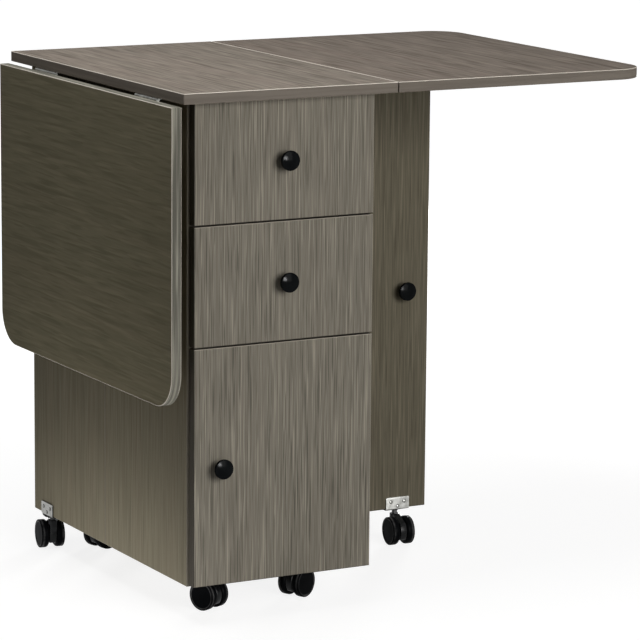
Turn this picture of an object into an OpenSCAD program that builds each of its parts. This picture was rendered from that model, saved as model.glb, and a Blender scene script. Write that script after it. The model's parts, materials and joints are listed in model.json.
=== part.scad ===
// Folding dining table on casters: a narrow cabinet with two drawers and a door, a drop leaf on
// each long side, and a full-height gate in the rear half of each side that swings out under its
// leaf. It stands as photographed: left leaf hanging, right leaf raised on its swung-out gate.
// X runs along the table towards the raised leaf, Y from the drawer fronts to the back, Z up.
// The origin is on the floor, midway between the outermost faces of the two leaves.

/* [Table top] */
// Height of the table top above the floor
table_h = 750; // [720:1:780]
// Thickness of the top and of both leaves
board_t = 15; // [14:0.5:16]
// From the side of the cabinet out to the long edge of the fixed top
top_overhang = 23.5; // [22:0.5:32]
// Depth of the top and of both leaves
top_d = 580; // [560:1:620]
// Length of a leaf, from its hinged edge to its outer edge
leaf_l = 418; // [390:1:440]
// Radius of the two outer corners of a leaf
leaf_corner_r = 50; // [30:1:70]
// Gap between the fixed top and a raised leaf
leaf_gap = 2; // [2:0.1:3]
// Width of the eased arris along the board edges
ease = 0.8; // [0.4:0.1:1]

/* [Cabinet] */
// Width over the outer faces of the two sides
cab_w = 285; // [275:1:300]
// From the front edge of the top back to the faces of the fronts
front_setback = 20; // [16:1:30]
// From the rear edge of the top in to the rear of the cabinet
rear_setback = 23; // [16:1:30]
// Height of the underside of the sides above the floor
side_clear = 54; // [53:0.5:58]
// Thickness of the carcass panels
panel_t = 15; // [14:0.5:16]
// Thickness of the gate boards
gate_t = 15; // [14:0.5:16]
// Clearance between the rear panels and a folded gate
gate_clear = 1; // [0.6:0.1:1.4]
// Height of the fixed shelf in the rear bay above the base panel
rear_shelf_h = 326; // [250:1:400]

/* [Fronts and drawers] */
// Thickness of the drawer fronts and the door
front_t = 15; // [14:0.5:16]
// Height of each drawer front
drawer_front_h = 168; // [160:1:176]
// How far the fronts stay inside the outer faces of the sides
front_reveal = 2.5; // [2:0.1:4]
// Gap between neighbouring fronts, and under the top
front_gap = 2; // [1.5:0.1:3]
// Gap between the back of the fronts and the carcass, which the door hinges fill
front_standoff = 2; // [2:0.1:2.6]
// How far the door's lower edge stays above the lower edge of the sides
door_lift = 2; // [0:0.5:4]
// Height of the drawer sides
drawer_box_h = 110; // [100:1:120]
// From the back of a closed drawer to the panel behind it
drawer_rear_gap = 17; // [14:1:30]
// Thickness of the drawer sides and backs
drawer_side_t = 12; // [10:0.5:14]
// Thickness of the drawer bottoms
drawer_bottom_t = 3; // [2.5:0.5:5]
// From the lower edge of a drawer front up to the drawer side
drawer_side_lift = 20; // [16:1:30]
// How far a drawer bottom stands in its grooves
groove_depth = 5; // [3:0.5:6]
// Play of a drawer bottom in its grooves
groove_play = 0.1; // [0.1:0.05:0.3]
// Height of a drawer bottom above the lower edge of the drawer sides
bottom_lift = 9; // [7:0.5:12]

/* [Runners] */
// Height of the runner's cabinet member
runner_h = 35; // [30:1:40]
// How much shorter the runners are than the drawer sides
runner_short = 11; // [8:1:30]
// Wall of both runner members
runner_wall = 1.2; // [1:0.1:1.5]
// Running gap between the two members of a runner
runner_gap = 0.4; // [0.3:0.1:0.6]
// Space between a drawer side and the carcass, which a pair of members fills
runner_space = 12.5; // [12:0.1:14]
// From the front of the carcass back to the runners
runner_setback = 3; // [2:0.5:5]
// Height of the middle of a runner above the lower edge of the drawer sides
runner_lift = 46; // [30:1:70]

/* [Gates] */
// From the hinge axis of a gate to its free edge when folded
gate_l = 253; // [240:1:260]
// Joint between a side and the hinged edge of its gate
gate_joint = 1; // [0.8:0.1:1.4]
// From the underside of the top down to the top edge of a gate
gate_drop = 4.6; // [4.5:0.1:6]
// Running gap between a gate's pad and the board above it
pad_gap = 0.3; // [0.2:0.1:0.5]
// Length of the pad on the top edge of a gate
pad_l = 28; // [20:1:36]
// From the free edge of a gate to that pad
pad_inset = 3; // [2:1:8]
// How far the pad stays inside the faces of the gate
pad_margin = 1.5; // [1:0.5:3]
// From the free edge of a gate to its knob
gate_knob_inset = 44; // [38:1:60]
// From the free edge of a gate to the stem of its caster
gate_stem_inset = 49; // [46:1:60]

/* [Hinges] */
// Radius of every hinge pin
pin_r = 1; // [0.8:0.05:1.1]
// Radial running clearance of a pin in its knuckles
pin_fit = 0.06; // [0.03:0.01:0.1]
// Axial gap between neighbouring knuckles
knuckle_gap = 0.4; // [0.3:0.1:0.6]
// Knuckle radius of the leaf hinges
leaf_knuckle_r = 2; // [1.8:0.1:2.3]
// Knuckle radius of the gate and door hinges
butt_knuckle_r = 2.4; // [2:0.1:2.6]
// Plate thickness of the leaf hinges
leaf_plate_t = 1; // [0.8:0.1:1.2]
// Plate thickness of the gate and door hinges
butt_plate_t = 0.8; // [0.6:0.1:0.9]
// Length of a leaf hinge along its pin
leaf_hinge_l = 72; // [60:1:80]
// From the side of the cabinet out to the plates of the leaf hinges
leaf_plate_gap = 1.5; // [0.5:0.5:4]
// From the front edge of the top to the middle of the front leaf hinges
leaf_hinge_front = 112; // [90:1:140]
// From the rear edge of the top to the middle of the rear leaf hinges
leaf_hinge_rear = 130; // [110:1:150]
// Length of a gate hinge along its pin
gate_hinge_l = 60; // [50:1:70]
// From the upper edge of a gate down to the middle of its upper hinge
gate_hinge_top = 90; // [70:1:110]
// From there down to the middle of its lower hinge
gate_hinge_span = 268; // [240:1:320]
// How far the plates of the gate and door hinges stop short of the panel's inner face
butt_plate_inset = 1; // [0.5:0.5:3]
// Gap between a gate or door hinge's knuckles and the face of the side
knuckle_clear = 0.3; // [0.2:0.1:0.5]
// Length of a door hinge along its pin
door_hinge_l = 50; // [40:1:60]
// From the upper and lower edges of the door to the middle of its hinges
door_hinge_inset = 60; // [45:1:80]

/* [Knobs] */
// Radius of a knob's head
knob_r = 14; // [12:0.5:16]
// How far a knob stands out
knob_reach = 20; // [18:0.5:24]
// Radius of a knob's foot
knob_foot_r = 6; // [5:0.5:7]
// From the left edge of the door to its knob
door_knob_inset = 39; // [32:1:50]

/* [Casters] */
// Radius of a wheel
wheel_r = 21.5; // [20:0.5:22.5]
// Width of one wheel
wheel_w = 12.5; // [11:0.5:13]
// Width of the hood between the two wheels
hood_w = 10.5; // [9:0.5:12]
// Clearance between the hood and each wheel
wheel_side_gap = 0.35; // [0.3:0.05:0.6]
// Rounding of a wheel's inner shoulder
wheel_round_r = 4.5; // [3:0.5:6]
// Rounding of a wheel's outer rim
wheel_rim_r = 1.5; // [1:0.5:3]
// How far the hood's disc stays inside the wheels' tread
hood_inset = 1.5; // [1:0.5:3]
// Height above the floor at which the hood's disc is cut off between the wheels
hood_cut_h = 9; // [7:0.5:12]
// Horizontal distance from the stem to the axle
trail = 15; // [12:0.5:16]
// Radius of the caster stem
stem_r = 4; // [3:0.25:4.5]
// Radial running clearance of the stem in the hood
stem_fit = 0.08; // [0.04:0.01:0.1]
// Length of bare stem between the plate and the hood
stem_bare = 6.5; // [6:0.5:7]
// Depth of the stem in the hood
stem_seat = 9; // [7:0.5:11]
// Wall of the boss round the stem
boss_wall = 3; // [2.5:0.5:4]
// Height of that boss
boss_h = 5.5; // [4:0.5:7]
// Radius of the wheel axle
axle_r = 2.5; // [2:0.25:3]
// Radial running clearance of a wheel on its axle
axle_fit = 0.06; // [0.03:0.01:0.1]
// How far the axle's ends stay inside the wheels' outer faces
axle_inset = 3; // [2:0.5:5]
// Thickness of the caster plates and the gate brackets
plate_t = 2; // [1.5:0.25:2.5]
// Side of a caster plate under the cabinet
caster_plate_w = 38; // [34:1:42]
// From the outer face of a side in to the front casters
caster_inset_x = 60.5; // [56:0.5:72]
// From the front of the carcass in to the front casters
caster_front_y = 76; // [60:1:90]
// From the outer face of a side in to the rear casters
caster_rear_inset = 93; // [86:1:98]
// From the rear of the carcass in to the rear casters
caster_rear_y = 67; // [60:1:90]
// Width of a gate bracket
bracket_w = 40; // [34:1:46]
// Height of a gate bracket, from its lower face up the face of the gate
bracket_h = 20; // [18:1:24]
// Height of the riveted end of the stem above a gate bracket's flange
rivet_h = 1.5; // [1:0.5:2]
// Spacing of a gate bracket's two upper screws
screw_spacing = 23; // [18:1:28]
// Height of a gate bracket's upper screws above the lower edge of the gate
upper_screw_h = 11; // [9.5:0.5:12]
// Height of its lower screw above the lower edge of the gate
lower_screw_h = 4; // [4:0.25:5]
// Shank radius of those screws
screw_r = 1.4; // [1.2:0.1:1.6]
// Head radius of those screws
screw_head_r = 2.9; // [2.5:0.1:3.2]
// Length of those screws in the gate
screw_l = 12; // [9:0.5:13]

/* [Brake lever] */
// From the stem to the pin of the brake lever
lever_pin_x = 8; // [7:0.5:9]
// Radius of the lever's pin
lever_pin_r = 1.25; // [1:0.05:1.4]
// Length of the lever beyond its pin
lever_l = 22; // [18:1:24]
// Width of the lever's tread
lever_w = 16; // [14:1:18]
// Thickness of the lever
lever_t = 2.6; // [2:0.2:3]

/* [Caster directions] */
// Direction in which the front left caster trails, from the table's long axis
front_left_heading = -67; // [-180:1:180]
// Direction in which the front right caster trails
front_right_heading = -154; // [-180:1:180]
// Direction in which the rear left caster trails
rear_left_heading = -164; // [-180:1:180]
// Direction in which the rear right caster trails
rear_right_heading = -120; // [-180:1:180]
// Direction in which the left gate's caster trails
left_gate_heading = 82; // [-180:1:180]
// Direction in which the right gate's caster trails
right_gate_heading = -94; // [-180:1:180]

/* [Hidden] */
$fn = 64;
over = 1;

z_under = table_h - board_t;
y_front = -top_d / 2;
y_rear = top_d / 2;
y_face = y_front + front_setback;
y_front_back = y_face + front_t;
y_carcass = y_front_back + front_standoff;
y_back = y_rear - rear_setback;
x_side = cab_w / 2;
x_in = x_side - panel_t;
x_rear_in = x_side - gate_t - gate_clear;
x_front_edge = x_side - front_reveal;
top_w = cab_w + 2 * top_overhang;

// The pins of the leaf hinges lie below the middle of the joint, and both leaves turn on them
pin_x = top_w / 2 + leaf_gap / 2;
pin_z = z_under - leaf_knuckle_r;

// The cabinet stands off the origin, which is midway between the two leaves
reach_left = pin_x + leaf_knuckle_r + board_t;
reach_right = top_w / 2 + leaf_gap + leaf_l;
cab_x = (reach_left - reach_right) / 2;

// Gates and door: the pin stands just outside the outer face. The door's hinge plates fill the
// gap behind the fronts, the gates' plates are let into both edges of a narrower joint.
plate_slack = (front_standoff - 2 * butt_plate_t) / 2;
plate_fit = 0.2;
gate_pin_x = x_side + butt_knuckle_r + knuckle_clear;
butt_reach = gate_pin_x - x_in - butt_plate_inset;
gate_pin_y = y_back - gate_l;
gate_z0 = side_clear;
gate_z1 = z_under - gate_drop;
y_side_end = gate_pin_y - gate_joint / 2;
y_part = y_side_end - panel_t;
gate_hinge_high = gate_z1 - gate_hinge_top;
gate_hinge_zs = [gate_hinge_high - gate_hinge_span, gate_hinge_high];
gate_face = x_side - gate_pin_x;
gate_free = y_back - gate_pin_y;
gate_stem_u = gate_face - gate_t / 2;
gate_stem_v = gate_free - gate_stem_inset;
flange_inset = 1;
rivet_r = stem_r + 1.5;
rivet_room = 0.5;
screw_fit = 0.1;
screw_head_h = 1.3;

// Fronts
front_w = 2 * x_front_edge;
z_door = side_clear + door_lift;
z_drawer_1 = z_under - front_gap - drawer_front_h;
z_drawer_2 = z_drawer_1 - front_gap - drawer_front_h;
door_h = z_drawer_2 - front_gap - z_door;
door_pin_x = gate_pin_x;
door_pin_y = y_front_back + front_standoff / 2;
door_hinge_zs = [z_door + door_hinge_inset, z_door + door_h - door_hinge_inset];
z_base_top = side_clear + panel_t;
z_deck = z_drawer_2 - front_gap / 2 - panel_t / 2;

// Drawers
box_w = 2 * (x_in - runner_space);
drawer_box_d = y_part - y_front_back - drawer_rear_gap;
runner_l = drawer_box_d - runner_short;
slider_h = runner_h - 2 * runner_wall - 2 * runner_gap;
member_depth = runner_space - runner_wall - runner_gap;
y_runner = y_carcass + runner_setback;
groove_h = drawer_bottom_t + 2 * groove_play;

// Leaf hinges
leaf_hinge_ys = [y_front + leaf_hinge_front, y_rear - leaf_hinge_rear];
leaf_reach = pin_x - x_side - leaf_plate_gap;

// Knobs
knob_head_h = 0.42 * knob_reach;
knob_crown_r = 2.6 * knob_r;
knob_round_r = 2.5;
knob_foot_h = 2;
knob_neck_in = 1.2;

// Casters
axle_z = wheel_r;
stem_top = side_clear - plate_t;
boss_top = stem_top - stem_bare;
boss_r = stem_r + boss_wall;
stem_z0 = boss_top - stem_seat;
hood_r = wheel_r - hood_inset;
axle_reach = hood_w / 2 + wheel_side_gap + wheel_w - axle_inset;
caster_x0 = x_side - caster_inset_x;
caster_x1 = x_side - caster_rear_inset;
caster_y0 = y_carcass + caster_front_y;
caster_y1 = y_back - caster_rear_y;
hood_shoulder = 42;
stem_end_gap = 0.6;
bore_end_gap = 0.4;
dish_depth = 0.8;
dish_r = wheel_r - wheel_rim_r - 1;
lug_r = 2;
ear_t = 2.4;
ear_r = lever_pin_r + 1;
lever_pin_z = boss_top + ear_r + 0.3;
ear_in = lug_r + 0.4;
ear_out = ear_in + ear_t;

// Outline of a board's cross-section, with its arrises eased at the near and the far edge
module eased_section(w, t, near, far) {
    polygon([
        [near, 0], [w - far, 0], [w, far], [w, t - far],
        [w - far, t], [near, t], [0, t - near], [0, near]
    ]);
}

// A board from the origin along +X, +Y and +Z. The four eased arrises of the faces seen along
// each axis come from one profile carried along that axis.
module board(size) {
    intersection() {
        linear_extrude(size[2]) eased_section(size[0], size[1], ease, ease);
        translate([0, size[1], 0]) rotate([90, 0, 0])
            linear_extrude(size[1]) eased_section(size[0], size[2], ease, ease);
        rotate([90, 0, 90]) linear_extrude(size[0]) eased_section(size[1], size[2], ease, ease);
    }
}

// A board between two corners
module board_between(a, b) {
    translate(a) board(b - a);
}

// A plain box between two corners
module box_between(a, b) {
    translate(a) cube(b - a);
}

module at_cabinet() {
    translate([cab_x, 0, 0]) children();
}

// Both hands of a piece, or one hand of it: side is 1 on the right and -1 on the left
module on_side(side) {
    if (side > 0) children();
    else mirror([1, 0, 0]) children();
}

// One half of a butt hinge. The pin runs along Z, the plate reaches along +X with its near face
// at Y = off, and the half owns every second knuckle, from number first on.
module hinge_half(len, reach, off, t, r, first, count = 5) {
    pitch = len / count;
    difference() {
        union() {
            translate([r + knuckle_gap, off, -len / 2]) cube([reach - r - knuckle_gap, t, len]);
            for (i = [first : 2 : count - 1])
                translate([0, 0, -len / 2 + i * pitch + knuckle_gap / 2]) {
                    cylinder(h = pitch - knuckle_gap, r = r);
                    translate([0, off, 0]) cube([r + knuckle_gap + 0.2, t, pitch - knuckle_gap]);
                }
        }
        translate([0, 0, -len / 2 - over]) cylinder(h = len + 2 * over, r = pin_r + pin_fit);
    }
}

// A leaf in its own frame: hinged edge along Y at X = 0, underside at Z = 0, outer edge at +X
module leaf_board() {
    r = leaf_corner_r;
    union() {
        intersection() {
            translate([0, top_d / 2, 0]) rotate([90, 0, 0]) linear_extrude(top_d)
                eased_section(leaf_l - r, board_t, ease, 0);
            translate([0, -top_d / 2, 0]) rotate([90, 0, 90]) linear_extrude(leaf_l)
                eased_section(top_d, board_t, ease, ease);
        }
        translate([leaf_l - r, top_d / 2 - r, 0]) rotate([90, 0, 0])
            linear_extrude(top_d - 2 * r) eased_section(r, board_t, 0, ease);
        for (s = [0, 1]) mirror([0, s, 0]) translate([leaf_l - r, top_d / 2 - r, 0])
            rotate_extrude(angle = 90, $fn = 96) eased_section(r, board_t, 0, ease);
    }
}

// Turned knob along +Z from its foot
module knob() {
    head_z = knob_reach - knob_head_h;
    rotate_extrude() {
        square([knob_foot_r, knob_foot_h]);
        square([knob_foot_r - knob_neck_in, head_z + over]);
        intersection() {
            translate([0, knob_reach - knob_crown_r]) circle(r = knob_crown_r, $fn = 160);
            union() {
                translate([0, head_z]) square([knob_r - knob_round_r, knob_head_h]);
                translate([knob_r - knob_round_r, head_z + knob_round_r])
                    circle(r = knob_round_r);
                translate([0, head_z + knob_round_r])
                    square([knob_r, knob_head_h - knob_round_r]);
            }
        }
    }
}

// Stem of a caster, standing on the axis of the origin
module caster_stem() {
    translate([0, 0, stem_z0]) cylinder(h = side_clear - stem_z0, r = stem_r);
}

// Hood of a caster, trailing along +X, with its axle: a disc between the wheels with its lower
// part cut away, a boss for the stem and a shoulder that joins them
module hood(lever = false) {
    difference() {
        union() {
            translate([0, hood_w / 2, 0]) rotate([90, 0, 0]) linear_extrude(hood_w) {
                difference() {
                    translate([trail, axle_z]) circle(r = hood_r, $fn = 96);
                    translate([trail - wheel_r, 0]) square([2 * wheel_r, hood_cut_h]);
                }
                polygon([
                    [-boss_r, boss_top - 2 * boss_h], [-boss_r, boss_top], [boss_r, boss_top],
                    [trail + hood_r * cos(hood_shoulder), axle_z + hood_r * sin(hood_shoulder)],
                    [trail, axle_z], [0, axle_z]
                ]);
            }
            translate([0, 0, boss_top - boss_h]) cylinder(h = boss_h, r = boss_r);
            translate([trail, 0, axle_z]) rotate([90, 0, 0])
                cylinder(h = 2 * axle_reach, r = axle_r, center = true);
            if (lever) lever_lug();
        }
        translate([0, 0, stem_z0 - stem_end_gap])
            cylinder(h = side_clear - stem_z0, r = stem_r + stem_fit);
    }
}

// Lug on the hood that carries the brake lever's pin
module lever_lug() {
    box_between([lever_pin_x - lug_r, -lug_r, boss_top - boss_h + 1],
        [lever_pin_x + lug_r, lug_r, lever_pin_z + lug_r / 2]);
    translate([lever_pin_x, 0, lever_pin_z]) rotate([90, 0, 0])
        cylinder(h = 2 * ear_out, r = lever_pin_r, center = true);
}

// One wheel: its inner face at Z = 0, its dished outer face at Z = wheel_w
module wheel() {
    inner_r = wheel_r - wheel_round_r;
    outer_r = wheel_r - wheel_rim_r;
    rotate_extrude($fn = 96) difference() {
        union() {
            square([inner_r, wheel_w]);
            translate([0, wheel_round_r]) square([outer_r, wheel_w - wheel_round_r]);
            translate([0, wheel_round_r])
                square([wheel_r, wheel_w - wheel_round_r - wheel_rim_r]);
            translate([inner_r, wheel_round_r]) circle(r = wheel_round_r, $fn = 48);
            translate([outer_r, wheel_w - wheel_rim_r]) circle(r = wheel_rim_r, $fn = 32);
        }
        translate([0, -over])
            square([axle_r + axle_fit, wheel_w - axle_inset + bore_end_gap + over]);
        translate([0, wheel_w - dish_depth]) square([dish_r, dish_depth + over]);
    }
}

module wheel_pair() {
    for (s = [-1, 1]) translate([trail, 0, axle_z]) rotate([-90 * s, 0, 0])
        translate([0, 0, hood_w / 2 + wheel_side_gap]) wheel();
}

// Frames of the swung-out right gate and of the folded left gate. Both are drawn folded on the
// right: pin at the origin, hinged edge at the near end, free edge along +Y, outer face to +X.
module at_right_gate() {
    at_cabinet() translate([gate_pin_x, gate_pin_y, 0]) rotate([0, 0, -90]) children();
}

module at_left_gate() {
    at_cabinet() mirror([1, 0, 0]) translate([gate_pin_x, gate_pin_y, 0]) children();
}

// Frames of the casters: the stem's axis at the origin, trailing along +X
module at_cabinet_caster(x, y, heading) {
    at_cabinet() translate([x, y, 0]) rotate([0, 0, heading]) children();
}

module at_left_gate_caster() {
    at_cabinet() translate([-gate_pin_x - gate_stem_u, gate_pin_y + gate_stem_v, 0])
        rotate([0, 0, left_gate_heading]) children();
}

module at_right_gate_caster() {
    at_cabinet() translate([gate_pin_x + gate_stem_v, gate_pin_y - gate_stem_u, 0])
        rotate([0, 0, right_gate_heading]) children();
}

// Shallow recesses for a gate's hinge plates, in the frame of its pin
module plate_recesses() {
    for (z = gate_hinge_zs)
        box_between([-butt_reach - plate_fit, 0, z - gate_hinge_l / 2 - plate_fit],
            [0, plate_slack + butt_plate_t, z + gate_hinge_l / 2 + plate_fit]);
}

module gate_board() {
    difference() {
        board_between([gate_face - gate_t, gate_joint / 2, gate_z0],
            [gate_face, gate_free, gate_z1]);
        plate_recesses();
        translate([gate_stem_u, gate_stem_v, gate_z0 - over])
            cylinder(h = rivet_h + rivet_room + over, r = rivet_r + rivet_room);
        gate_screw_places() cylinder(h = screw_l + rivet_room, r = screw_r + screw_fit);
    }
}

module gate_hinge_halves() {
    for (z = gate_hinge_zs) translate([0, 0, z]) mirror([1, 0, 0])
        hinge_half(gate_hinge_l, butt_reach, plate_slack, butt_plate_t, butt_knuckle_r, 1);
}

module gate_pad() {
    box_between([gate_face - gate_t + pad_margin, gate_free - pad_inset - pad_l, gate_z1],
        [gate_face - pad_margin, gate_free - pad_inset, z_under - pad_gap]);
}

module gate_bracket() {
    v0 = gate_stem_v - bracket_w / 2;
    v1 = gate_stem_v + bracket_w / 2;
    difference() {
        union() {
            box_between([gate_face, v0, gate_z0 - plate_t],
                [gate_face + plate_t, v1, gate_z0 - plate_t + bracket_h]);
            box_between([gate_face - gate_t + flange_inset, v0, gate_z0 - plate_t],
                [gate_face + plate_t, v1, gate_z0]);
            translate([gate_stem_u, gate_stem_v, 0]) caster_stem();
            translate([gate_stem_u, gate_stem_v, gate_z0 - over])
                cylinder(h = rivet_h + over, r = rivet_r);
        }
        gate_screw_places() translate([0, 0, -plate_t - over])
            cylinder(h = plate_t + 2 * over, r = screw_r + screw_fit);
    }
}

// Places of the three bracket screws: along -X into the gate's outer face, origin on that face
module gate_screw_places() {
    for (p = [[-screw_spacing / 2, upper_screw_h], [screw_spacing / 2, upper_screw_h],
        [0, lower_screw_h]])
        translate([gate_face, gate_stem_v + p[0], gate_z0 + p[1]])
            rotate([0, -90, 0]) children();
}

module bracket_screw() {
    translate([0, 0, -plate_t - screw_head_h])
        cylinder(h = screw_head_h, r = screw_head_r, $fn = 32);
    translate([0, 0, -plate_t - screw_head_h / 2])
        cylinder(h = plate_t + screw_head_h / 2 + screw_l, r = screw_r, $fn = 32);
}

module gate_knob() {
    translate([gate_face, gate_free - gate_knob_inset, (gate_z0 + gate_z1) / 2])
        rotate([0, 90, 0]) knob();
}

// Drawer pieces, with z as the lower edge of the drawer's front
module drawer_front(z) {
    difference() {
        board_between([-x_front_edge, y_face, z], [x_front_edge, y_front_back, z + drawer_front_h]);
        drawer_groove(z);
    }
}

// Room for the edge of a drawer bottom all round, cut from the front and the back alike
module drawer_groove(z) {
    w = box_w / 2 - drawer_side_t + groove_depth;
    z0 = z + drawer_side_lift + bottom_lift - groove_play;
    box_between([-w, y_front_back - groove_depth, z0],
        [w, y_front_back + drawer_box_d - drawer_side_t + groove_depth, z0 + groove_h]);
}

module drawer_sides(z) {
    difference() {
        for (s = [0, 1]) mirror([s, 0, 0])
            translate([box_w / 2 - drawer_side_t, y_front_back, z + drawer_side_lift])
                cube([drawer_side_t, drawer_box_d, drawer_box_h]);
        drawer_groove(z);
    }
}

module drawer_back(z) {
    w = box_w / 2 - drawer_side_t;
    y1 = y_front_back + drawer_box_d;
    difference() {
        box_between([-w, y1 - drawer_side_t, z + drawer_side_lift],
            [w, y1, z + drawer_side_lift + drawer_box_h]);
        drawer_groove(z);
    }
}

module drawer_bottom(z) {
    w = box_w / 2 - drawer_side_t + groove_depth - groove_play;
    z0 = z + drawer_side_lift + bottom_lift;
    box_between([-w, y_front_back - groove_depth + groove_play, z0],
        [w, y_front_back + drawer_box_d - drawer_side_t + groove_depth - groove_play,
            z0 + drawer_bottom_t]);
}

// A channel along Y with its web at X = 0, flanges towards -X, centred on Z = 0
module channel(h) {
    difference() {
        translate([-member_depth, 0, -h / 2]) cube([member_depth, runner_l, h]);
        translate([-member_depth - over, -over, -h / 2 + runner_wall])
            cube([member_depth - runner_wall + over, runner_l + 2 * over, h - 2 * runner_wall]);
    }
}

function runner_z(z) = z + drawer_side_lift + runner_lift;

module drawer_sliders(z) {
    for (s = [0, 1]) mirror([s, 0, 0]) translate([box_w / 2, y_runner, runner_z(z)])
        mirror([1, 0, 0]) channel(slider_h);
}

module drawer_rail_pair(z) {
    for (s = [0, 1]) mirror([s, 0, 0]) translate([x_in, y_runner, runner_z(z)])
        channel(runner_h);
}

module drawer_knob(z) {
    translate([0, y_face, z + drawer_front_h / 2]) rotate([90, 0, 0]) knob();
}

module fixed_top() color("#8a8276")
    at_cabinet() board_between([-top_w / 2, y_front, z_under], [top_w / 2, y_rear, table_h]);

module side_panel(side) color("#6d675b") at_cabinet() on_side(side) difference() {
    board_between([x_in, y_carcass, side_clear], [x_side, y_side_end, z_under]);
    translate([gate_pin_x, gate_pin_y, 0]) mirror([0, 1, 0]) plate_recesses();
}

module left_side() side_panel(-1);
module right_side() side_panel(1);

module base_panel() color("#6d675b") at_cabinet() union() {
    translate([-x_in, y_carcass, side_clear]) cube([2 * x_in, y_side_end - y_carcass, panel_t]);
    translate([-x_rear_in, y_side_end - over, side_clear])
        cube([2 * x_rear_in, y_back - y_side_end + over, panel_t]);
}

module centre_partition() color("#6d675b") at_cabinet()
    translate([-x_in, y_part, z_base_top]) cube([2 * x_in, panel_t, z_under - z_base_top]);

module rear_panel() color("#6d675b") at_cabinet()
    translate([-x_rear_in, y_back - panel_t, z_base_top])
        cube([2 * x_rear_in, panel_t, z_under - z_base_top]);

module rear_shelf() color("#6d675b") at_cabinet()
    translate([-x_rear_in, y_side_end, z_base_top + rear_shelf_h])
        cube([2 * x_rear_in, y_back - panel_t - y_side_end, panel_t]);

module drawer_deck() color("#6d675b") at_cabinet()
    translate([-x_in, y_carcass, z_deck]) cube([2 * x_in, y_part - y_carcass, panel_t]);

module drawer_rails() color("silver") at_cabinet() {
    drawer_rail_pair(z_drawer_1);
    drawer_rail_pair(z_drawer_2);
}

module leaf_hinge_plates() color("silver") at_cabinet()
    for (s = [0, 1], y = leaf_hinge_ys) mirror([s, 0, 0])
        translate([pin_x, y, pin_z]) mirror([1, 0, 0]) rotate([90, 0, 0])
            hinge_half(leaf_hinge_l, leaf_reach, leaf_knuckle_r - leaf_plate_t,
                leaf_plate_t, leaf_knuckle_r, 0);

// A leaf's own hinge halves, drawn raised on the right with the pin at the origin
module leaf_hinge_halves() {
    for (y = leaf_hinge_ys) translate([0, y, 0]) rotate([90, 0, 0])
        hinge_half(leaf_hinge_l, leaf_reach, leaf_knuckle_r - leaf_plate_t,
            leaf_plate_t, leaf_knuckle_r, 1);
}

module at_raised_leaf() {
    at_cabinet() translate([pin_x, 0, pin_z]) children();
}

module at_hanging_leaf() {
    at_cabinet() mirror([1, 0, 0]) translate([pin_x, 0, pin_z]) rotate([0, 90, 0]) children();
}

module gate_hinge_plates() color("silver") at_cabinet()
    for (s = [0, 1], z = gate_hinge_zs) mirror([s, 0, 0])
        translate([gate_pin_x, gate_pin_y, z]) mirror([1, 0, 0]) mirror([0, 1, 0])
            hinge_half(gate_hinge_l, butt_reach, plate_slack, butt_plate_t, butt_knuckle_r, 0);

module door_hinge_plates() color("silver") at_cabinet()
    for (z = door_hinge_zs) translate([door_pin_x, door_pin_y, z]) mirror([1, 0, 0])
        hinge_half(door_hinge_l, butt_reach, plate_slack, butt_plate_t, butt_knuckle_r, 0);

module hinge_pins() color("gray") at_cabinet() {
    for (s = [0, 1], y = leaf_hinge_ys) mirror([s, 0, 0]) translate([pin_x, y, pin_z])
        rotate([90, 0, 0]) cylinder(h = leaf_hinge_l, r = pin_r, center = true);
    for (s = [0, 1], z = gate_hinge_zs) mirror([s, 0, 0])
        translate([gate_pin_x, gate_pin_y, z])
            cylinder(h = gate_hinge_l, r = pin_r, center = true);
    for (z = door_hinge_zs) translate([door_pin_x, door_pin_y, z])
        cylinder(h = door_hinge_l, r = pin_r, center = true);
}

module caster_plates() color("silver") at_cabinet()
    for (s = [-1, 1], at = [[caster_x0, caster_y0], [caster_x1, caster_y1]])
        translate([s * at[0], at[1], 0]) {
            translate([0, 0, stem_top + plate_t / 2])
                cube([caster_plate_w, caster_plate_w, plate_t], center = true);
            caster_stem();
        }

module left_leaf() color("#4a4638") at_hanging_leaf()
    translate([leaf_gap / 2, 0, leaf_knuckle_r]) leaf_board();
module left_leaf_hinges() color("silver") at_hanging_leaf() leaf_hinge_halves();
module right_leaf() color("#8a8276") at_raised_leaf()
    translate([leaf_gap / 2, 0, leaf_knuckle_r]) leaf_board();
module right_leaf_hinges() color("silver") at_raised_leaf() leaf_hinge_halves();

module left_gate() color("#6d675b") at_left_gate() gate_board();
module left_gate_hinges() color("silver") at_left_gate() gate_hinge_halves();
module left_gate_knob() color("#111111") at_left_gate() gate_knob();
module left_gate_pad() color("#222222") at_left_gate() gate_pad();
module left_gate_bracket() color("silver") at_left_gate() gate_bracket();
module left_bracket_screws() color("silver") at_left_gate() gate_screw_places() bracket_screw();
module right_gate() color("#524d42") at_right_gate() gate_board();
module right_gate_hinges() color("silver") at_right_gate() gate_hinge_halves();
module right_gate_knob() color("#111111") at_right_gate() gate_knob();
module right_gate_pad() color("#222222") at_right_gate() gate_pad();
module right_gate_bracket() color("silver") at_right_gate() gate_bracket();
module right_bracket_screws() color("silver") at_right_gate() gate_screw_places() bracket_screw();

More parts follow.
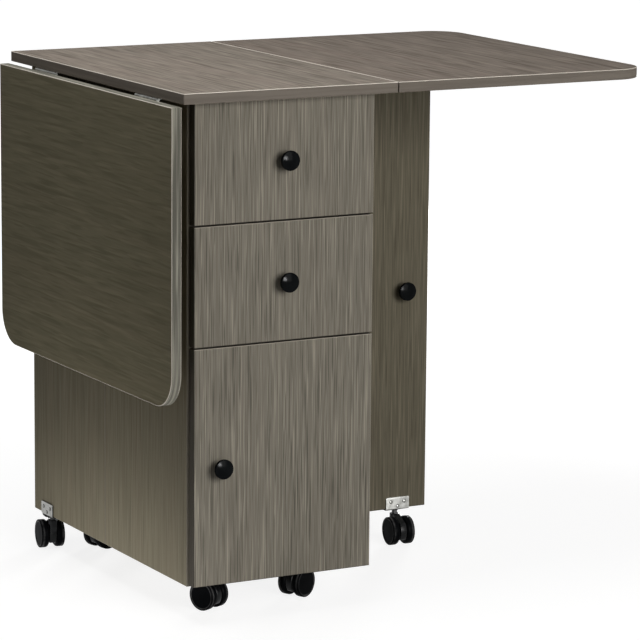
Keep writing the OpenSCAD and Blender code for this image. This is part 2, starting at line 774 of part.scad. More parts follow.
module upper_drawer_front() color("#716b60") at_cabinet() drawer_front(z_drawer_1);
module upper_drawer_sides() color("#c9c2b4") at_cabinet() drawer_sides(z_drawer_1);
module upper_drawer_back() color("#c9c2b4") at_cabinet() drawer_back(z_drawer_1);
module upper_drawer_bottom() color("#d8d2c6") at_cabinet() drawer_bottom(z_drawer_1);
module upper_drawer_sliders() color("silver") at_cabinet() drawer_sliders(z_drawer_1);
module upper_drawer_knob() color("#111111") at_cabinet() drawer_knob(z_drawer_1);
module lower_drawer_front() color("#716b60") at_cabinet() drawer_front(z_drawer_2);
module lower_drawer_sides() color("#c9c2b4") at_cabinet() drawer_sides(z_drawer_2);
module lower_drawer_back() color("#c9c2b4") at_cabinet() drawer_back(z_drawer_2);
module lower_drawer_bottom() color("#d8d2c6") at_cabinet() drawer_bottom(z_drawer_2);
module lower_drawer_sliders() color("silver") at_cabinet() drawer_sliders(z_drawer_2);
module lower_drawer_knob() color("#111111") at_cabinet() drawer_knob(z_drawer_2);

module door_panel() color("#716b60") at_cabinet()
    board_between([-x_front_edge, y_face, z_door], [x_front_edge, y_front_back, z_door + door_h]);

module door_hinges() color("silver") at_cabinet()
    for (z = door_hinge_zs) translate([door_pin_x, door_pin_y, z])
        mirror([1, 0, 0]) mirror([0, 1, 0])
            hinge_half(door_hinge_l, butt_reach, plate_slack, butt_plate_t, butt_knuckle_r, 1);

module door_knob() color("#111111") at_cabinet()
    translate([-x_front_edge + door_knob_inset, y_face, z_door + door_h / 2])
        rotate([90, 0, 0]) knob();

module front_left_hood() color("#1a1a1a")
    at_cabinet_caster(-caster_x0, caster_y0, front_left_heading) hood();
module front_left_wheels() color("#222222")
    at_cabinet_caster(-caster_x0, caster_y0, front_left_heading) wheel_pair();
module front_right_hood() color("#1a1a1a")
    at_cabinet_caster(caster_x0, caster_y0, front_right_heading) hood();
module front_right_wheels() color("#222222")
    at_cabinet_caster(caster_x0, caster_y0, front_right_heading) wheel_pair();
module rear_left_hood() color("#1a1a1a")
    at_cabinet_caster(-caster_x1, caster_y1, rear_left_heading) hood();
module rear_left_wheels() color("#222222")
    at_cabinet_caster(-caster_x1, caster_y1, rear_left_heading) wheel_pair();
module rear_right_hood() color("#1a1a1a")
    at_cabinet_caster(caster_x1, caster_y1, rear_right_heading) hood();
module rear_right_wheels() color("#222222")
    at_cabinet_caster(caster_x1, caster_y1, rear_right_heading) wheel_pair();
module left_gate_hood() color("#1a1a1a") at_left_gate_caster() hood(lever = true);
module left_gate_wheels() color("#222222") at_left_gate_caster() wheel_pair();
module right_gate_hood() color("#1a1a1a") at_right_gate_caster() hood();
module right_gate_wheels() color("#222222") at_right_gate_caster() wheel_pair();

// The lever straddles a lug on the hood and turns on its pin
module brake_lever() color("#1a1a1a") at_left_gate_caster() {
    z0 = lever_pin_z - lever_t / 2;
    tread_x = lever_pin_x + lug_r + 1;
    difference() {
        union() {
            for (s = [-1, 1]) {
                translate([lever_pin_x, s * (ear_in + ear_out) / 2, lever_pin_z])
                    rotate([90, 0, 0]) cylinder(h = ear_t, r = ear_r, center = true);
                translate([lever_pin_x, s * (ear_in + ear_out) / 2 - ear_t / 2, z0])
                    cube([lug_r + 2, ear_t, lever_t]);
            }
            box_between([tread_x, -lever_w / 2, z0],
                [lever_pin_x + lever_l, lever_w / 2, z0 + lever_t]);
            translate([lever_pin_x + lever_l - 2, -lever_w / 2, z0 + lever_t / 2])
                cube([2, lever_w, lever_t]);
        }
        translate([lever_pin_x, 0, lever_pin_z]) rotate([90, 0, 0])
            cylinder(h = 2 * ear_out + over, r = lever_pin_r + pin_fit, center = true);
    }
}

fixed_top();
left_side();
right_side();
base_panel();
centre_partition();
rear_panel();
rear_shelf();
drawer_deck();
drawer_rails();
leaf_hinge_plates();
gate_hinge_plates();
door_hinge_plates();
hinge_pins();
caster_plates();
left_leaf();
left_leaf_hinges();
right_leaf();
right_leaf_hinges();
left_gate();
left_gate_hinges();
left_gate_knob();
left_gate_pad();
left_gate_bracket();
left_bracket_screws();
right_gate();
right_gate_hinges();
right_gate_knob();
right_gate_pad();
right_gate_bracket();
right_bracket_screws();
upper_drawer_front();
upper_drawer_sides();
upper_drawer_back();
upper_drawer_bottom();
upper_drawer_sliders();
upper_drawer_knob();
lower_drawer_front();
lower_drawer_sides();
lower_drawer_back();
lower_drawer_bottom();
lower_drawer_sliders();
lower_drawer_knob();
door_panel();
door_hinges();
door_knob();
front_left_hood();
front_left_wheels();
front_right_hood();
front_right_wheels();
rear_left_hood();
rear_left_wheels();
rear_right_hood();
rear_right_wheels();
left_gate_hood();
left_gate_wheels();
brake_lever();
right_gate_hood();
right_gate_wheels();
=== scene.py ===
"""Looks of a folding dining table on casters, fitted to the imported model's frame.

The boards, hinges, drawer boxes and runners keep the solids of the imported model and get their
finishes here. Knobs, casters, their plates and stems, gate brackets, the brake lever and the
screws are finer surfaces worked out with numpy, in millimetres, and made in metres. X runs
towards the raised leaf, Y from the drawer fronts to the back, and Z up.
"""

from __future__ import annotations

import json
import logging
import math
from dataclasses import dataclass, field
from enum import Enum
from functools import cache

import bpy
import numpy as np
from mathutils import Matrix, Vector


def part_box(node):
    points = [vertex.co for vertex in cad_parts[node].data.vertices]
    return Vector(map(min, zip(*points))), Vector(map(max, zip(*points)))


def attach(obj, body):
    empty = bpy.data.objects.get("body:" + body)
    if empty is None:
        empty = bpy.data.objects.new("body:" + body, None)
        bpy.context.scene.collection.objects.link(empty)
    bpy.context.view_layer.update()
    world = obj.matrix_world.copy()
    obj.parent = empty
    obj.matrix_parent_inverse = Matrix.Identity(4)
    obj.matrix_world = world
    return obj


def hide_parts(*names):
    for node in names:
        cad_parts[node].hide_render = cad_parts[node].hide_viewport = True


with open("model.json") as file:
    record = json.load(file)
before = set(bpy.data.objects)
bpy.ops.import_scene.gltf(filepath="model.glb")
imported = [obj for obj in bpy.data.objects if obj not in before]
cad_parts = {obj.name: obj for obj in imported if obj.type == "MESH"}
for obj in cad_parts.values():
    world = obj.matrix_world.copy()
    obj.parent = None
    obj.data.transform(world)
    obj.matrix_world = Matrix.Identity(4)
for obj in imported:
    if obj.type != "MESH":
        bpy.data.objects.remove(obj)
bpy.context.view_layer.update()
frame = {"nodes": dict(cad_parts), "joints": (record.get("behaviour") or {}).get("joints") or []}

log = logging.getLogger("folding_table")
Vec = tuple[float, float, float]
Profile = list[tuple[float, float]]
Socket = bpy.types.NodeSocket

MM = 0.001
CREASE = math.radians(38.0)
FULL_BEND = math.radians(50.0)
SIDEWAYS = (0.0, 1.0, 0.0)


class Way(Enum):
    """The table's three directions, as places in a coordinate triple."""

    ALONG = 0
    DEEP = 1
    UP = 2


def unit(v: np.ndarray) -> np.ndarray:
    """Each vector of an array divided by its own length."""
    return v / np.maximum(np.linalg.norm(v, axis=-1, keepdims=True), 1e-12)


def smooth(low: float, high: float, x: np.ndarray) -> np.ndarray:
    """Soft step of x: 0 up to low, 1 from high on, and 3t^2 - 2t^3 between them."""
    t = np.clip((x - low) / (high - low), 0.0, 1.0)
    return t * t * (3.0 - 2.0 * t)


@dataclass(frozen=True)
class Place:
    """A piece's own axes in the table's frame: its origin, and where its X and Z point."""

    origin: Vec = (0.0, 0.0, 0.0)
    x: Vec = (1.0, 0.0, 0.0)
    z: Vec = (0.0, 0.0, 1.0)

    def of(self, points: np.ndarray) -> np.ndarray:
        """Carry points from these axes to the frame that they are given in.

        A point goes to origin + x times X + y times Y + z times Z, with Y = Z cross X.

        Args:
            points: Rows of x, y and z in these axes.

        Returns:
            The carried rows.
        """
        z = unit(np.array(self.z, float))
        x = np.array(self.x, float)
        x = unit(x - z * (x @ z))
        return np.array(self.origin, float) + points @ np.stack([x, np.cross(z, x), z])


@dataclass
class Shell:
    """A surface: points, four-sided and three-sided faces, and how much each point is worn, which
    some finishes also use to place painted highlights and painted shade.
    """

    points: np.ndarray
    quads: np.ndarray
    tris: np.ndarray
    wear: np.ndarray

    def placed(self, place: Place) -> Shell:
        """The same surface, carried to its place."""
        return Shell(place.of(self.points), self.quads, self.tris, self.wear)

    def outward(self) -> Shell:
        """The same closed surface with every face pointing out.

        The signed volume is a sixth of the sum of a . (b x c) over the triangles, and where it
        is negative the order of each face's corners is reversed.

        Returns:
            The surface, turned the right way out.
        """
        p = self.points
        t = np.concatenate([self.tris, self.quads[:, :3], self.quads[:, [0, 2, 3]]])
        volume = np.einsum("ij,ij->i", p[t[:, 0]], np.cross(p[t[:, 1]], p[t[:, 2]])).sum()
        if volume < 0:
            return Shell(p, self.quads[:, ::-1], self.tris[:, ::-1], self.wear)
        return self


def joined(shells: list[Shell]) -> Shell:
    """Several surfaces as one, whose face numbers are shifted by the points before them.

    Args:
        shells: The surfaces.

    Returns:
        Their union.
    """
    starts = np.cumsum([0] + [len(s.points) for s in shells[:-1]])
    return Shell(
        np.concatenate([s.points for s in shells]),
        np.concatenate([s.quads + n for s, n in zip(shells, starts)]),
        np.concatenate([s.tris + n for s, n in zip(shells, starts)]),
        np.concatenate([s.wear for s in shells]),
    )


def bend_of(points: np.ndarray, around: bool) -> np.ndarray:
    """How sharply a grid of points turns from row to row, from 0, flat, to 1.

    It is the angle between the step in and the step out of each point, over a full bend.

    Args:
        points: Grid of rows by columns by x, y and z.
        around: Whether the rows close on themselves.

    Returns:
        One number for each point of the grid, flattened.
    """
    if around:
        into, out = points - np.roll(points, 1, 0), np.roll(points, -1, 0) - points
    else:
        steps = np.diff(points, axis=0)
        into = np.concatenate([steps[:1], steps])
        out = np.concatenate([steps, steps[-1:]])
    turn = np.arccos(np.clip((unit(into) * unit(out)).sum(-1), -1.0, 1.0))
    return np.clip(turn / FULL_BEND, 0.0, 1.0).ravel()


def woven(
    points: np.ndarray,
    around: bool = False,
    low: np.ndarray | None = None,
    high: np.ndarray | None = None,
) -> Shell:
    """A surface on a grid of points whose columns close on themselves.

    A face joins (row, column), (row, column + 1), (row + 1, column + 1) and (row + 1, column).
    Where the rows don't close too, a fan to a middle point closes each end.

    Args:
        points: Grid of rows by columns by x, y and z.
        around: Whether the rows close on themselves, as on a ring.
        low: Middle point of the first row's fan, or None for the row's mean.
        high: Middle point of the last row's fan, or None for the row's mean.

    Returns:
        The closed surface, pointing outwards.
    """
    rows, cols = points.shape[:2]
    r = np.arange(rows if around else rows - 1)[:, None]
    c = np.arange(cols)[None, :]
    r2, c2 = (r + 1) % rows, (c + 1) % cols
    quads = np.stack([r * cols + c, r * cols + c2, r2 * cols + c2, r2 * cols + c], -1)
    flat, wear = points.reshape(-1, 3), bend_of(points, around)
    tris = np.zeros((0, 3), int)
    if not around:
        middles = [
            points[0].mean(0) if low is None else low,
            points[-1].mean(0) if high is None else high,
        ]
        flat = np.concatenate([flat, np.array(middles)])
        wear = np.concatenate([wear, [0.0, 0.0]])
        j = np.arange(cols)
        k, n = (j + 1) % cols, rows * cols
        last = (rows - 1) * cols
        foot = np.stack([np.full(cols, n), k, j], -1)
        head = np.stack([np.full(cols, n + 1), last + j, last + k], -1)
        tris = np.concatenate([foot, head])
    return Shell(flat, quads.reshape(-1, 4), tris, wear).outward()


def turned(profile: Profile, columns: int = 64) -> Shell:
    """A turned piece: the profile carried round the Z axis.

    A point is (r cos a, r sin a, z). A profile that starts and ends on the axis is closed there
    by a point, and any other one closes on itself as a ring.

    Args:
        profile: Pairs of radius and height, from the low end.
        columns: Number of steps round the axis.

    Returns:
        The closed surface.
    """
    p = np.array(profile, float)
    on_axis = p[0, 0] < 1e-6 and p[-1, 0] < 1e-6
    body = p[1:-1] if on_axis else p
    a = np.linspace(0.0, 2 * math.pi, columns, endpoint=False)
    ring = np.stack([np.cos(a), np.sin(a), np.zeros_like(a)], -1)
    grid = body[:, None, :1] * ring[None] + body[:, None, 1:] * np.array([0.0, 0.0, 1.0])
    if on_axis:
        return woven(grid, low=np.array([0, 0, p[0, 1]]), high=np.array([0, 0, p[-1, 1]]))
    return woven(grid, around=True)


def pairs(xs: np.ndarray, ys: np.ndarray) -> Profile:
    """Two rows of numbers as a profile's points."""
    return list(zip(xs.tolist(), ys.tolist()))


def arc(
    centre: tuple[float, float], radius: float, start: float, end: float, steps: int
) -> Profile:
    """Points on an arc: centre + radius times (cos, sin) of evenly spaced angles.

    Args:
        centre: The arc's centre in the profile.
        radius: Its radius.
        start: Its first angle, in degrees.
        end: Its last angle, in degrees.
        steps: Number of steps between them.

    Returns:
        The points, in order.
    """
    a = np.radians(np.linspace(start, end, steps + 1))
    return pairs(centre[0] + radius * np.cos(a), centre[1] + radius * np.sin(a))


def softened(outline: np.ndarray, count: int, spread: float) -> np.ndarray:
    """An outline with its corners rounded.

    The closed outline is resampled at equal steps of its length, and each point is then the mean
    of its neighbours with bell-shaped weights.

    Args:
        outline: Corner points, two numbers each.
        count: Number of points to give back.
        spread: Reach of the rounding.

    Returns:
        The rounded outline.
    """
    loop = np.concatenate([outline, outline[:1]])
    along = np.concatenate([[0.0], np.cumsum(np.linalg.norm(np.diff(loop, axis=0), axis=1))])
    s = np.linspace(0.0, along[-1], count, endpoint=False)
    even = np.stack([np.interp(s, along, loop[:, k]) for k in (0, 1)], -1)
    shift = np.arange(-12, 13)
    weight = np.exp(-0.5 * (shift * along[-1] / count / spread) ** 2)
    index = (np.arange(count)[:, None] + shift[None]) % count
    return (even[index] * (weight / weight.sum())[None, :, None]).sum(1)


def slab(outline: np.ndarray, half: float, round_r: float) -> Shell:
    """A flat piece with rounded edges, centred on Z = 0.

    Each level is the outline moved inwards along its normals by round_r (1 - cos a), at height
    half - round_r (1 - sin a), for a from 0 to a right angle, and the same below.

    Args:
        outline: Closed outline in X and Y.
        half: Half of the thickness.
        round_r: Radius of the edges.

    Returns:
        The closed surface.
    """
    tangent = np.roll(outline, -1, 0) - np.roll(outline, 1, 0)
    area = (outline[:, 0] * tangent[:, 1] - outline[:, 1] * tangent[:, 0]).sum()
    normal = unit(np.stack([tangent[:, 1], -tangent[:, 0]], -1)) * np.sign(area)
    a = np.linspace(0.0, math.pi / 2, 5)
    inset = round_r * (1 - np.cos(a))
    height = half - round_r * (1 - np.sin(a))
    inset = np.concatenate([inset[::-1], inset])
    height = np.concatenate([-height[::-1], height])
    flat = outline[None] - normal[None] * inset[:, None, None]
    level = np.broadcast_to(height[:, None, None], flat.shape[:2] + (1,))
    return woven(np.concatenate([flat, level], -1))


def swept(
    path: np.ndarray,
    width: np.ndarray | float,
    thick: np.ndarray | float,
    round_r: float,
    rise: np.ndarray | float = 0.0,
) -> Shell:
    """A strip with a rounded rectangular section, carried along a path in the XZ plane.

    At each station the section lies across the path: its width runs along Y, its thickness along
    the path's normal, which is the tangent turned a quarter turn. Rise lifts the upper side.

    Args:
        path: Stations, as x and z.
        width: Full width at each station.
        thick: Full thickness at each station.
        round_r: Radius of the section's corners.
        rise: Extra height of the upper side at each station.

    Returns:
        The closed surface.
    """
    width, thick, rise = (np.broadcast_to(v, len(path))[:, None] for v in (width, thick, rise))
    along = unit(np.gradient(path, axis=0))
    normal = np.stack([-along[:, 1], along[:, 0]], -1)
    a = np.radians(np.array([0, 22, 45, 68, 90], float))
    corner = np.stack([np.cos(a), np.sin(a)], -1)
    back = corner[::-1] * np.array([-1.0, 1.0])
    arcs = np.concatenate([corner, back, -corner, -back])
    sign = np.repeat(np.array([[1, 1], [-1, 1], [-1, -1], [1, -1]], float), len(a), axis=0)
    r = np.minimum(round_r, np.minimum(width, thick) / 2 - 0.001)
    across = sign[None, :, 0] * (width / 2 - r) + arcs[None, :, 0] * r
    lift = sign[None, :, 1] * (thick / 2 - r) + arcs[None, :, 1] * r
    lift = lift + rise * (sign[None, :, 1] > 0)
    x = path[:, None, 0] + normal[:, None, 0] * lift
    z = path[:, None, 1] + normal[:, None, 1] * lift
    return woven(np.stack([x, across, z], -1))


class Nodes:
    """A node tree and short ways to put nodes into it."""

    def __init__(self, tree: bpy.types.NodeTree) -> None:
        """Take a material's or a world's tree and empty it."""
        self.tree = tree
        tree.nodes.clear()

    def feed(self, socket: Socket, value: object) -> None:
        """Link a socket, or set it where the value is a plain number, colour or triple.

        Args:
            socket: The socket to fill.
            value: A socket to link from, or a plain value.
        """
        if isinstance(value, bpy.types.NodeSocket):
            self.tree.links.new(value, socket)
        elif socket.type == "RGBA":
            socket.default_value = (*value, 1.0)
        else:
            socket.default_value = value

    def add(self, kind: str, inputs: dict[int | str, object], **settings: object) -> bpy.types.Node:
        """One node with its settings and inputs.

        Args:
            kind: Blender's name of the node, after its first word.
            inputs: What feeds its inputs, by their names or numbers.
            settings: Its own settings.

        Returns:
            The node.
        """
        node = self.tree.nodes.new(f"ShaderNode{kind}")
        for name, value in settings.items():
            setattr(node, name, value)
        for key, value in inputs.items():
            self.feed(node.inputs[key], value)
        return node

    def math(self, operation: str, *values: object) -> Socket:
        """The result of one Math node on its values."""
        return self.add("Math", dict(enumerate(values)), operation=operation).outputs[0]

    def times(self, a: object, b: object) -> Socket:
        """The product of two values."""
        return self.math("MULTIPLY", a, b)

    def plus(self, a: object, b: object) -> Socket:
        """The sum of two values."""
        return self.math("ADD", a, b)

    def span(self, value: object, *ends: float) -> Socket:
        """Carry a..b to 0..1, or to c..d, held at the ends, with a soft start and end.

        Args:
            value: The value to carry.
            ends: The ends a and b, and where given c and d.

        Returns:
            The result's socket.
        """
        inputs = dict(enumerate((value, *ends)))
        return self.add("MapRange", inputs, interpolation_type="SMOOTHSTEP").outputs[0]

    def mix(self, share: object, a: object, b: object) -> Socket:
        """The colour a, with a share of the colour b."""
        return self.add("Mix", {0: share, 6: a, 7: b}, data_type="RGBA").outputs[2]

    def point(self) -> Socket:
        """Place on the piece, in the table's frame at rest."""
        return self.add("TexCoord", {}).outputs["Object"]

    def lean(self, way: Way, both: bool = True) -> Socket:
        """Size of the surface normal's part along one of the table's directions at rest.

        Args:
            way: The direction.
            both: Whether the opposite direction counts too.

        Returns:
            A socket from 0 to 1, or from -1 where one direction counts.
        """
        normal = self.add("TexCoord", {}).outputs["Normal"]
        part = self.add("SeparateXYZ", {0: normal}).outputs[way.value]
        return self.math("ABSOLUTE", part) if both else part

    def noise(
        self, scale: Vec, shift: Vec = (0.0, 0.0, 0.0), detail: float = 2.0, rough: float = 0.5
    ) -> Socket:
        """Noise on Object coordinates, stretched by its own scale in each direction.

        Args:
            scale: Cycles per metre along X, Y and Z.
            shift: Start of the pattern.
            detail: Octaves.
            rough: Share that each octave keeps.

        Returns:
            The noise's socket, about 0.5.
        """
        at = {"Vector": self.point(), "Location": shift, "Scale": scale}
        inputs = {"Scale": 1.0, "Detail": detail, "Roughness": rough}
        inputs["Vector"] = self.add("Mapping", at).outputs[0]
        return self.add("TexNoise", inputs).outputs["Fac"]

    def fall(self, middle: Vec, stretch: Vec, *ends: float) -> Socket:
        """A soft change of level with the distance from a middle.

        The distance is that of stretch times the place, and is spanned by the ends.

        Args:
            middle: The middle, on the stretched place.
            stretch: What the place is multiplied with in each direction.
            ends: Distances where the change starts and ends, and the levels there.

        Returns:
            The level's socket.
        """
        drawn = self.add("VectorMath", {0: self.point(), 1: stretch}, operation="MULTIPLY")
        far = self.add("VectorMath", {0: drawn.outputs[0], 1: middle}, operation="DISTANCE")
        return self.span(far.outputs["Value"], *ends)

    def seen(self, plain: float, white: float) -> Socket:
        """A strength for what is seen, by the camera and in reflections, and one for the rest.

        Args:
            plain: Strength for light on the object.
            white: Strength for what is seen.

        Returns:
            The strength's socket.
        """
        path = self.add("LightPath", {}).outputs
        ray = self.math("MAXIMUM", path["Is Camera Ray"], path["Is Glossy Ray"])
        ray = self.math("MAXIMUM", ray, path["Is Transmission Ray"])
        return self.add("MapRange", {0: ray, 3: plain, 4: white}).outputs[0]


class Skin(Nodes):
    """A finish's material: its nodes, with the shader and the output in place."""

    def __init__(self, name: str) -> None:
        """Start the material.

        Args:
            name: Its name.
        """
        self.material = bpy.data.materials.new(name)
        self.material.use_nodes = True
        super().__init__(self.material.node_tree)
        self.shader = self.add("BsdfPrincipled", {})
        self.add("OutputMaterial", {0: self.shader.outputs[0]})

    def worn(self) -> Socket:
        """How sharply the surface turns at a point, from the piece's own attribute."""
        return self.add("Attribute", {}, attribute_name="wear").outputs["Fac"]

    def done(
        self, inputs: dict[str, object], height: Socket, depth: float, strength: float
    ) -> bpy.types.Material:
        """Feed the shader.

        Args:
            inputs: What feeds the shader's inputs, by their names.
            height: Relief of the surface, from 0 to 1.
            depth: How deep its full span is, in metres.
            strength: How much of it counts.

        Returns:
            The finished material.
        """
        relief = {"Height": height, "Distance": depth, "Strength": strength}
        inputs = {**inputs, "Normal": self.add("Bump", relief).outputs[0]}
        for name, value in inputs.items():
            self.feed(self.shader.inputs[name], value)
        return self.material


def shade(colour: Vec, share: float) -> Vec:
    """A colour made lighter or darker, up to white."""
    return tuple(min(1.0, part * share) for part in colour)


def stretched(way: Way, along: float, across: float) -> Vec:
    """Cycles per metre of a pattern that differs along one of the table's directions."""
    return tuple(along if each is way else across for each in Way)


@dataclass(frozen=True)
class Look:
    """A laminate's colours, and how strong and fine its pattern is.

    Lines is how much the thin dark and pale lines show, mottle the strength of the whole mottle
    and coarse the broad pattern's share in it, fine how narrow the pattern is, and groove how
    bright the lines on the edge band are. Arris is the colour painted on the rounded arris: a
    painted highlight where it is pale.
    """

    light: Vec
    dark: Vec
    band: Vec = (0.220, 0.198, 0.160)
    arris: Vec = (0.220, 0.198, 0.160)
    lines: float = 0.5
    mottle: float = 0.9
    fine: float = 0.4
    coarse: float = 0.9
    groove: float = 0.78


# The second colour is a painted highlight for the arrises of the top and both leaves.
TOP_BAND, ARRIS_HIGHLIGHT = (0.208, 0.182, 0.154), (0.740, 0.680, 0.600)


class Tone(Enum):
    """The looks of the table's boards."""

    TOP = Look((0.290, 0.251, 0.209), (0.168, 0.145, 0.118), TOP_BAND, ARRIS_HIGHLIGHT, groove=0.84)
    # The raised leaf: the top's laminate made darker, a painted shade.
    WING = Look((0.255, 0.215, 0.178), (0.147, 0.121, 0.099), TOP_BAND, ARRIS_HIGHLIGHT, groove=0.84)
    # The hanging leaf: the top's laminate retinted greener and calmer for its dim light, a painted
    # shade, with a pale band that paints the highlight on its upper edge.
    LEAF = Look(
        (0.274, 0.246, 0.163), (0.182, 0.163, 0.105), (0.340, 0.327, 0.272), ARRIS_HIGHLIGHT,
        lines=0.3, mottle=0.6, coarse=0.8, groove=0.38,
    )
    # On the fronts the dark edge band is a painted shade in the gaps between them, and the pale
    # arris a painted highlight.
    FRONT = Look(
        (0.290, 0.266, 0.218), (0.150, 0.137, 0.111), (0.090, 0.081, 0.066), (0.440, 0.400, 0.335),
        lines=0.85, mottle=1.0, fine=1.3, coarse=0.22,
    )
    SIDE = Look((0.234, 0.209, 0.151), (0.148, 0.132, 0.091), lines=0.3, mottle=0.6, fine=0.8)
    # The right gate: the sides' laminate made darker, a painted shade for where it stands under the
    # raised leaf.
    GATE = Look(
        (0.196, 0.175, 0.128), (0.108, 0.096, 0.068), lines=0.55, mottle=0.8, fine=1.0, coarse=0.35
    )


@dataclass(frozen=True)
class Laminate:
    """Oak-look laminate on a board, with a matching band on its narrow edges.

    Grain and thick are the ways that the board's grain and thickness run. Boards of one sheet
    share the start of the pattern.
    """

    name: str
    look: Look
    grain: Way
    thick: Way
    sheet: str
    roughness: float = 0.62
    specular: float = 0.015

    @property
    def shift(self) -> Vec:
        """Start of the sheet's pattern, from its name."""
        code = sum((i + 3) * ord(c) for i, c in enumerate(self.sheet))
        return (code % 17 * 1.7, code % 23 * 2.3, code % 29 * 1.1)

    def grained(
        self,
        g: Skin,
        along: float,
        across: float,
        detail: float = 2.0,
        rough: float = 0.5,
        start: float = 0.0,
    ) -> Socket:
        """Noise that is drawn out along the grain.

        Args:
            g: The material.
            along: Cycles per metre along the grain.
            across: Cycles per metre across it.
            detail: Octaves.
            rough: Share that each octave keeps.
            start: How far the pattern starts from the sheet's own start.

        Returns:
            The noise's socket, about 0.5.
        """
        shift = tuple(c + start for c in self.shift)
        return g.noise(stretched(self.grain, along, across), shift, detail, rough)

    def veins(
        self, g: Skin, along: float, across: float, start: float, low: float, high: float
    ) -> Socket:
        """Thin lines along the grain that come and go: the peaks of a drawn-out noise.

        Args:
            g: The material.
            along: Cycles per metre along the grain.
            across: Cycles per metre across it, on a pattern that isn't made finer.
            start: Start of the pattern.
            low: Noise where a line starts to show.
            high: Noise where it is full.

        Returns:
            The lines' socket, from 0 to 1.
        """
        noise = self.grained(g, along, across * self.look.fine, detail=1.0, start=start)
        return g.span(noise, low, high)

    def face(self, g: Skin, fibres: Socket, vein: Socket) -> Socket:
        """Lay soft bands, streaks, fibres, rosier patches, pale veins and dark veins.

        Args:
            g: The material.
            fibres: The fibres' noise.
            vein: The dark veins.

        Returns:
            The face's colour.
        """
        look = self.look
        whole, broad = look.mottle, look.mottle * look.coarse
        bands = self.grained(g, along=0.8, across=13.0)
        streaks = self.grained(g, along=5.5, across=260.0 * look.fine, rough=0.6)
        tone = g.times(g.span(bands, 0.3, 0.7), 0.12 * broad)
        tone = g.plus(tone, g.times(g.span(streaks, 0.32, 0.68), 0.42 * broad))
        tone = g.plus(tone, g.times(g.span(fibres, 0.34, 0.66), 0.46 * whole))
        centred = 0.5 - 0.27 * broad - 0.23 * whole
        colour = g.mix(g.plus(tone, centred), look.dark, look.light)
        patches = self.grained(g, along=1.3, across=30.0, detail=1.0)
        rosier = tuple(
            (a + b) / 2 * more for a, b, more in zip(look.light, look.dark, (1.16, 1.05, 1.08))
        )
        colour = g.mix(g.span(patches, 0.42, 0.66, 0.0, 0.28 * broad), colour, rosier)
        pale = self.veins(g, along=9.0, across=420.0, start=5.3, low=0.55, high=0.68)
        colour = g.mix(g.times(pale, 0.8 * look.lines), colour, shade(look.light, 1.3))
        return g.mix(g.times(vein, look.lines), colour, shade(look.dark, 0.5))

    def band(self, g: Skin) -> Socket:
        """The edge band's colour: fine lines that run along the board's edge."""
        noise = g.noise(stretched(self.thick, 230.0, 4.0), self.shift, detail=3.0, rough=0.7)
        band = self.look.band
        return g.mix(g.span(noise, 0.36, 0.64), shade(band, self.look.groove), band)

    def arris(self, g: Skin) -> Socket | Vec:
        """The arris's colour: on boards that face the front, a painted highlight above and at the
        right and a painted shade below and at the left; elsewhere the look's own arris colour.
        """
        if self.thick is not Way.DEEP:
            return self.look.arris
        # Pale where the arris faces up or right, a painted highlight; near black elsewhere, a
        # painted shade.
        lit_up_right = g.plus(g.lean(Way.ALONG, False), g.lean(Way.UP, False))
        return g.mix(g.span(lit_up_right, -0.2, 0.3), shade(self.look.arris, 0.12), self.look.arris)

    def build(self) -> bpy.types.Material:
        """Lay the face, the edge band and the rounded arris between them, with its painted
        highlight.

        Returns:
            The finished material.
        """
        g = Skin(self.name)
        fibres = self.grained(g, along=13.0, across=620.0 * self.look.fine, rough=0.6)
        broad = self.veins(g, along=5.5, across=260.0, start=3.1, low=0.57, high=0.7)
        fine = self.veins(g, along=11.0, across=560.0, start=7.7, low=0.55, high=0.66)
        vein = g.math("MAXIMUM", g.times(broad, self.look.coarse), g.times(fine, 0.7))
        on_edge = g.span(g.lean(self.thick), 0.45, 0.55, 1.0, 0.0)
        colour = g.mix(on_edge, self.face(g, fibres, vein), self.band(g))
        # On a top only the upper arris takes the pale colour, a painted highlight.
        lean = g.lean(self.thick, self.thick is not Way.UP)
        painted_arris = g.times(g.span(lean, 0.5, 0.66), g.span(lean, 0.76, 0.93, 1.0, 0.0))
        shine = g.plus(g.times(fibres, 0.14), self.roughness - 0.07)
        inputs = {
            "Base Color": g.mix(painted_arris, colour, self.arris(g)),
            "Roughness": g.plus(shine, g.times(vein, 0.1)),
            "Specular IOR Level": self.specular,
        }
        relief = g.math("SUBTRACT", g.times(fibres, 0.5), vein)
        return g.done(inputs, relief, 0.12 * MM, 0.5)


@dataclass(frozen=True)
class Moulded:
    """Moulded plastic: a fine grained skin, polished and greyed where it is handled; on the
    casters' hoods and wheels the pale colour at the bends is also a painted highlight.
    """

    name: str
    slot: str
    base: Vec
    # Colour at the bends: worn plastic and, where pale, a painted highlight.
    worn: Vec
    roughness: float
    gloss: float = 0.2
    skin: float = 1400.0

    def build(self) -> bpy.types.Material:
        """Lay a fine skin, faint clouds and worn edges over the base colour; the pale edges are
        partly a painted highlight.

        Returns:
            The finished material.
        """
        g = Skin(self.name)
        clouds = g.noise((38.0,) * 3, detail=3.0)
        colour = g.mix(g.span(clouds, 0.35, 0.7), self.base, shade(self.base, 1.6))
        # Paler at the bends: wear, and on hoods and wheels a painted highlight.
        rubbed_and_glinting = g.times(g.span(g.worn(), 0.12, 0.75), g.span(clouds, 0.3, 0.6))
        shine = g.plus(g.times(clouds, 0.16), self.roughness - 0.08)
        inputs = {
            "Base Color": g.mix(g.times(rubbed_and_glinting, 0.55), colour, self.worn),
            "Roughness": g.math("SUBTRACT", shine, g.times(rubbed_and_glinting, 0.08)),
            "Specular IOR Level": self.gloss,
        }
        return g.done(inputs, g.noise((self.skin,) * 3), 0.06 * MM, 0.35)


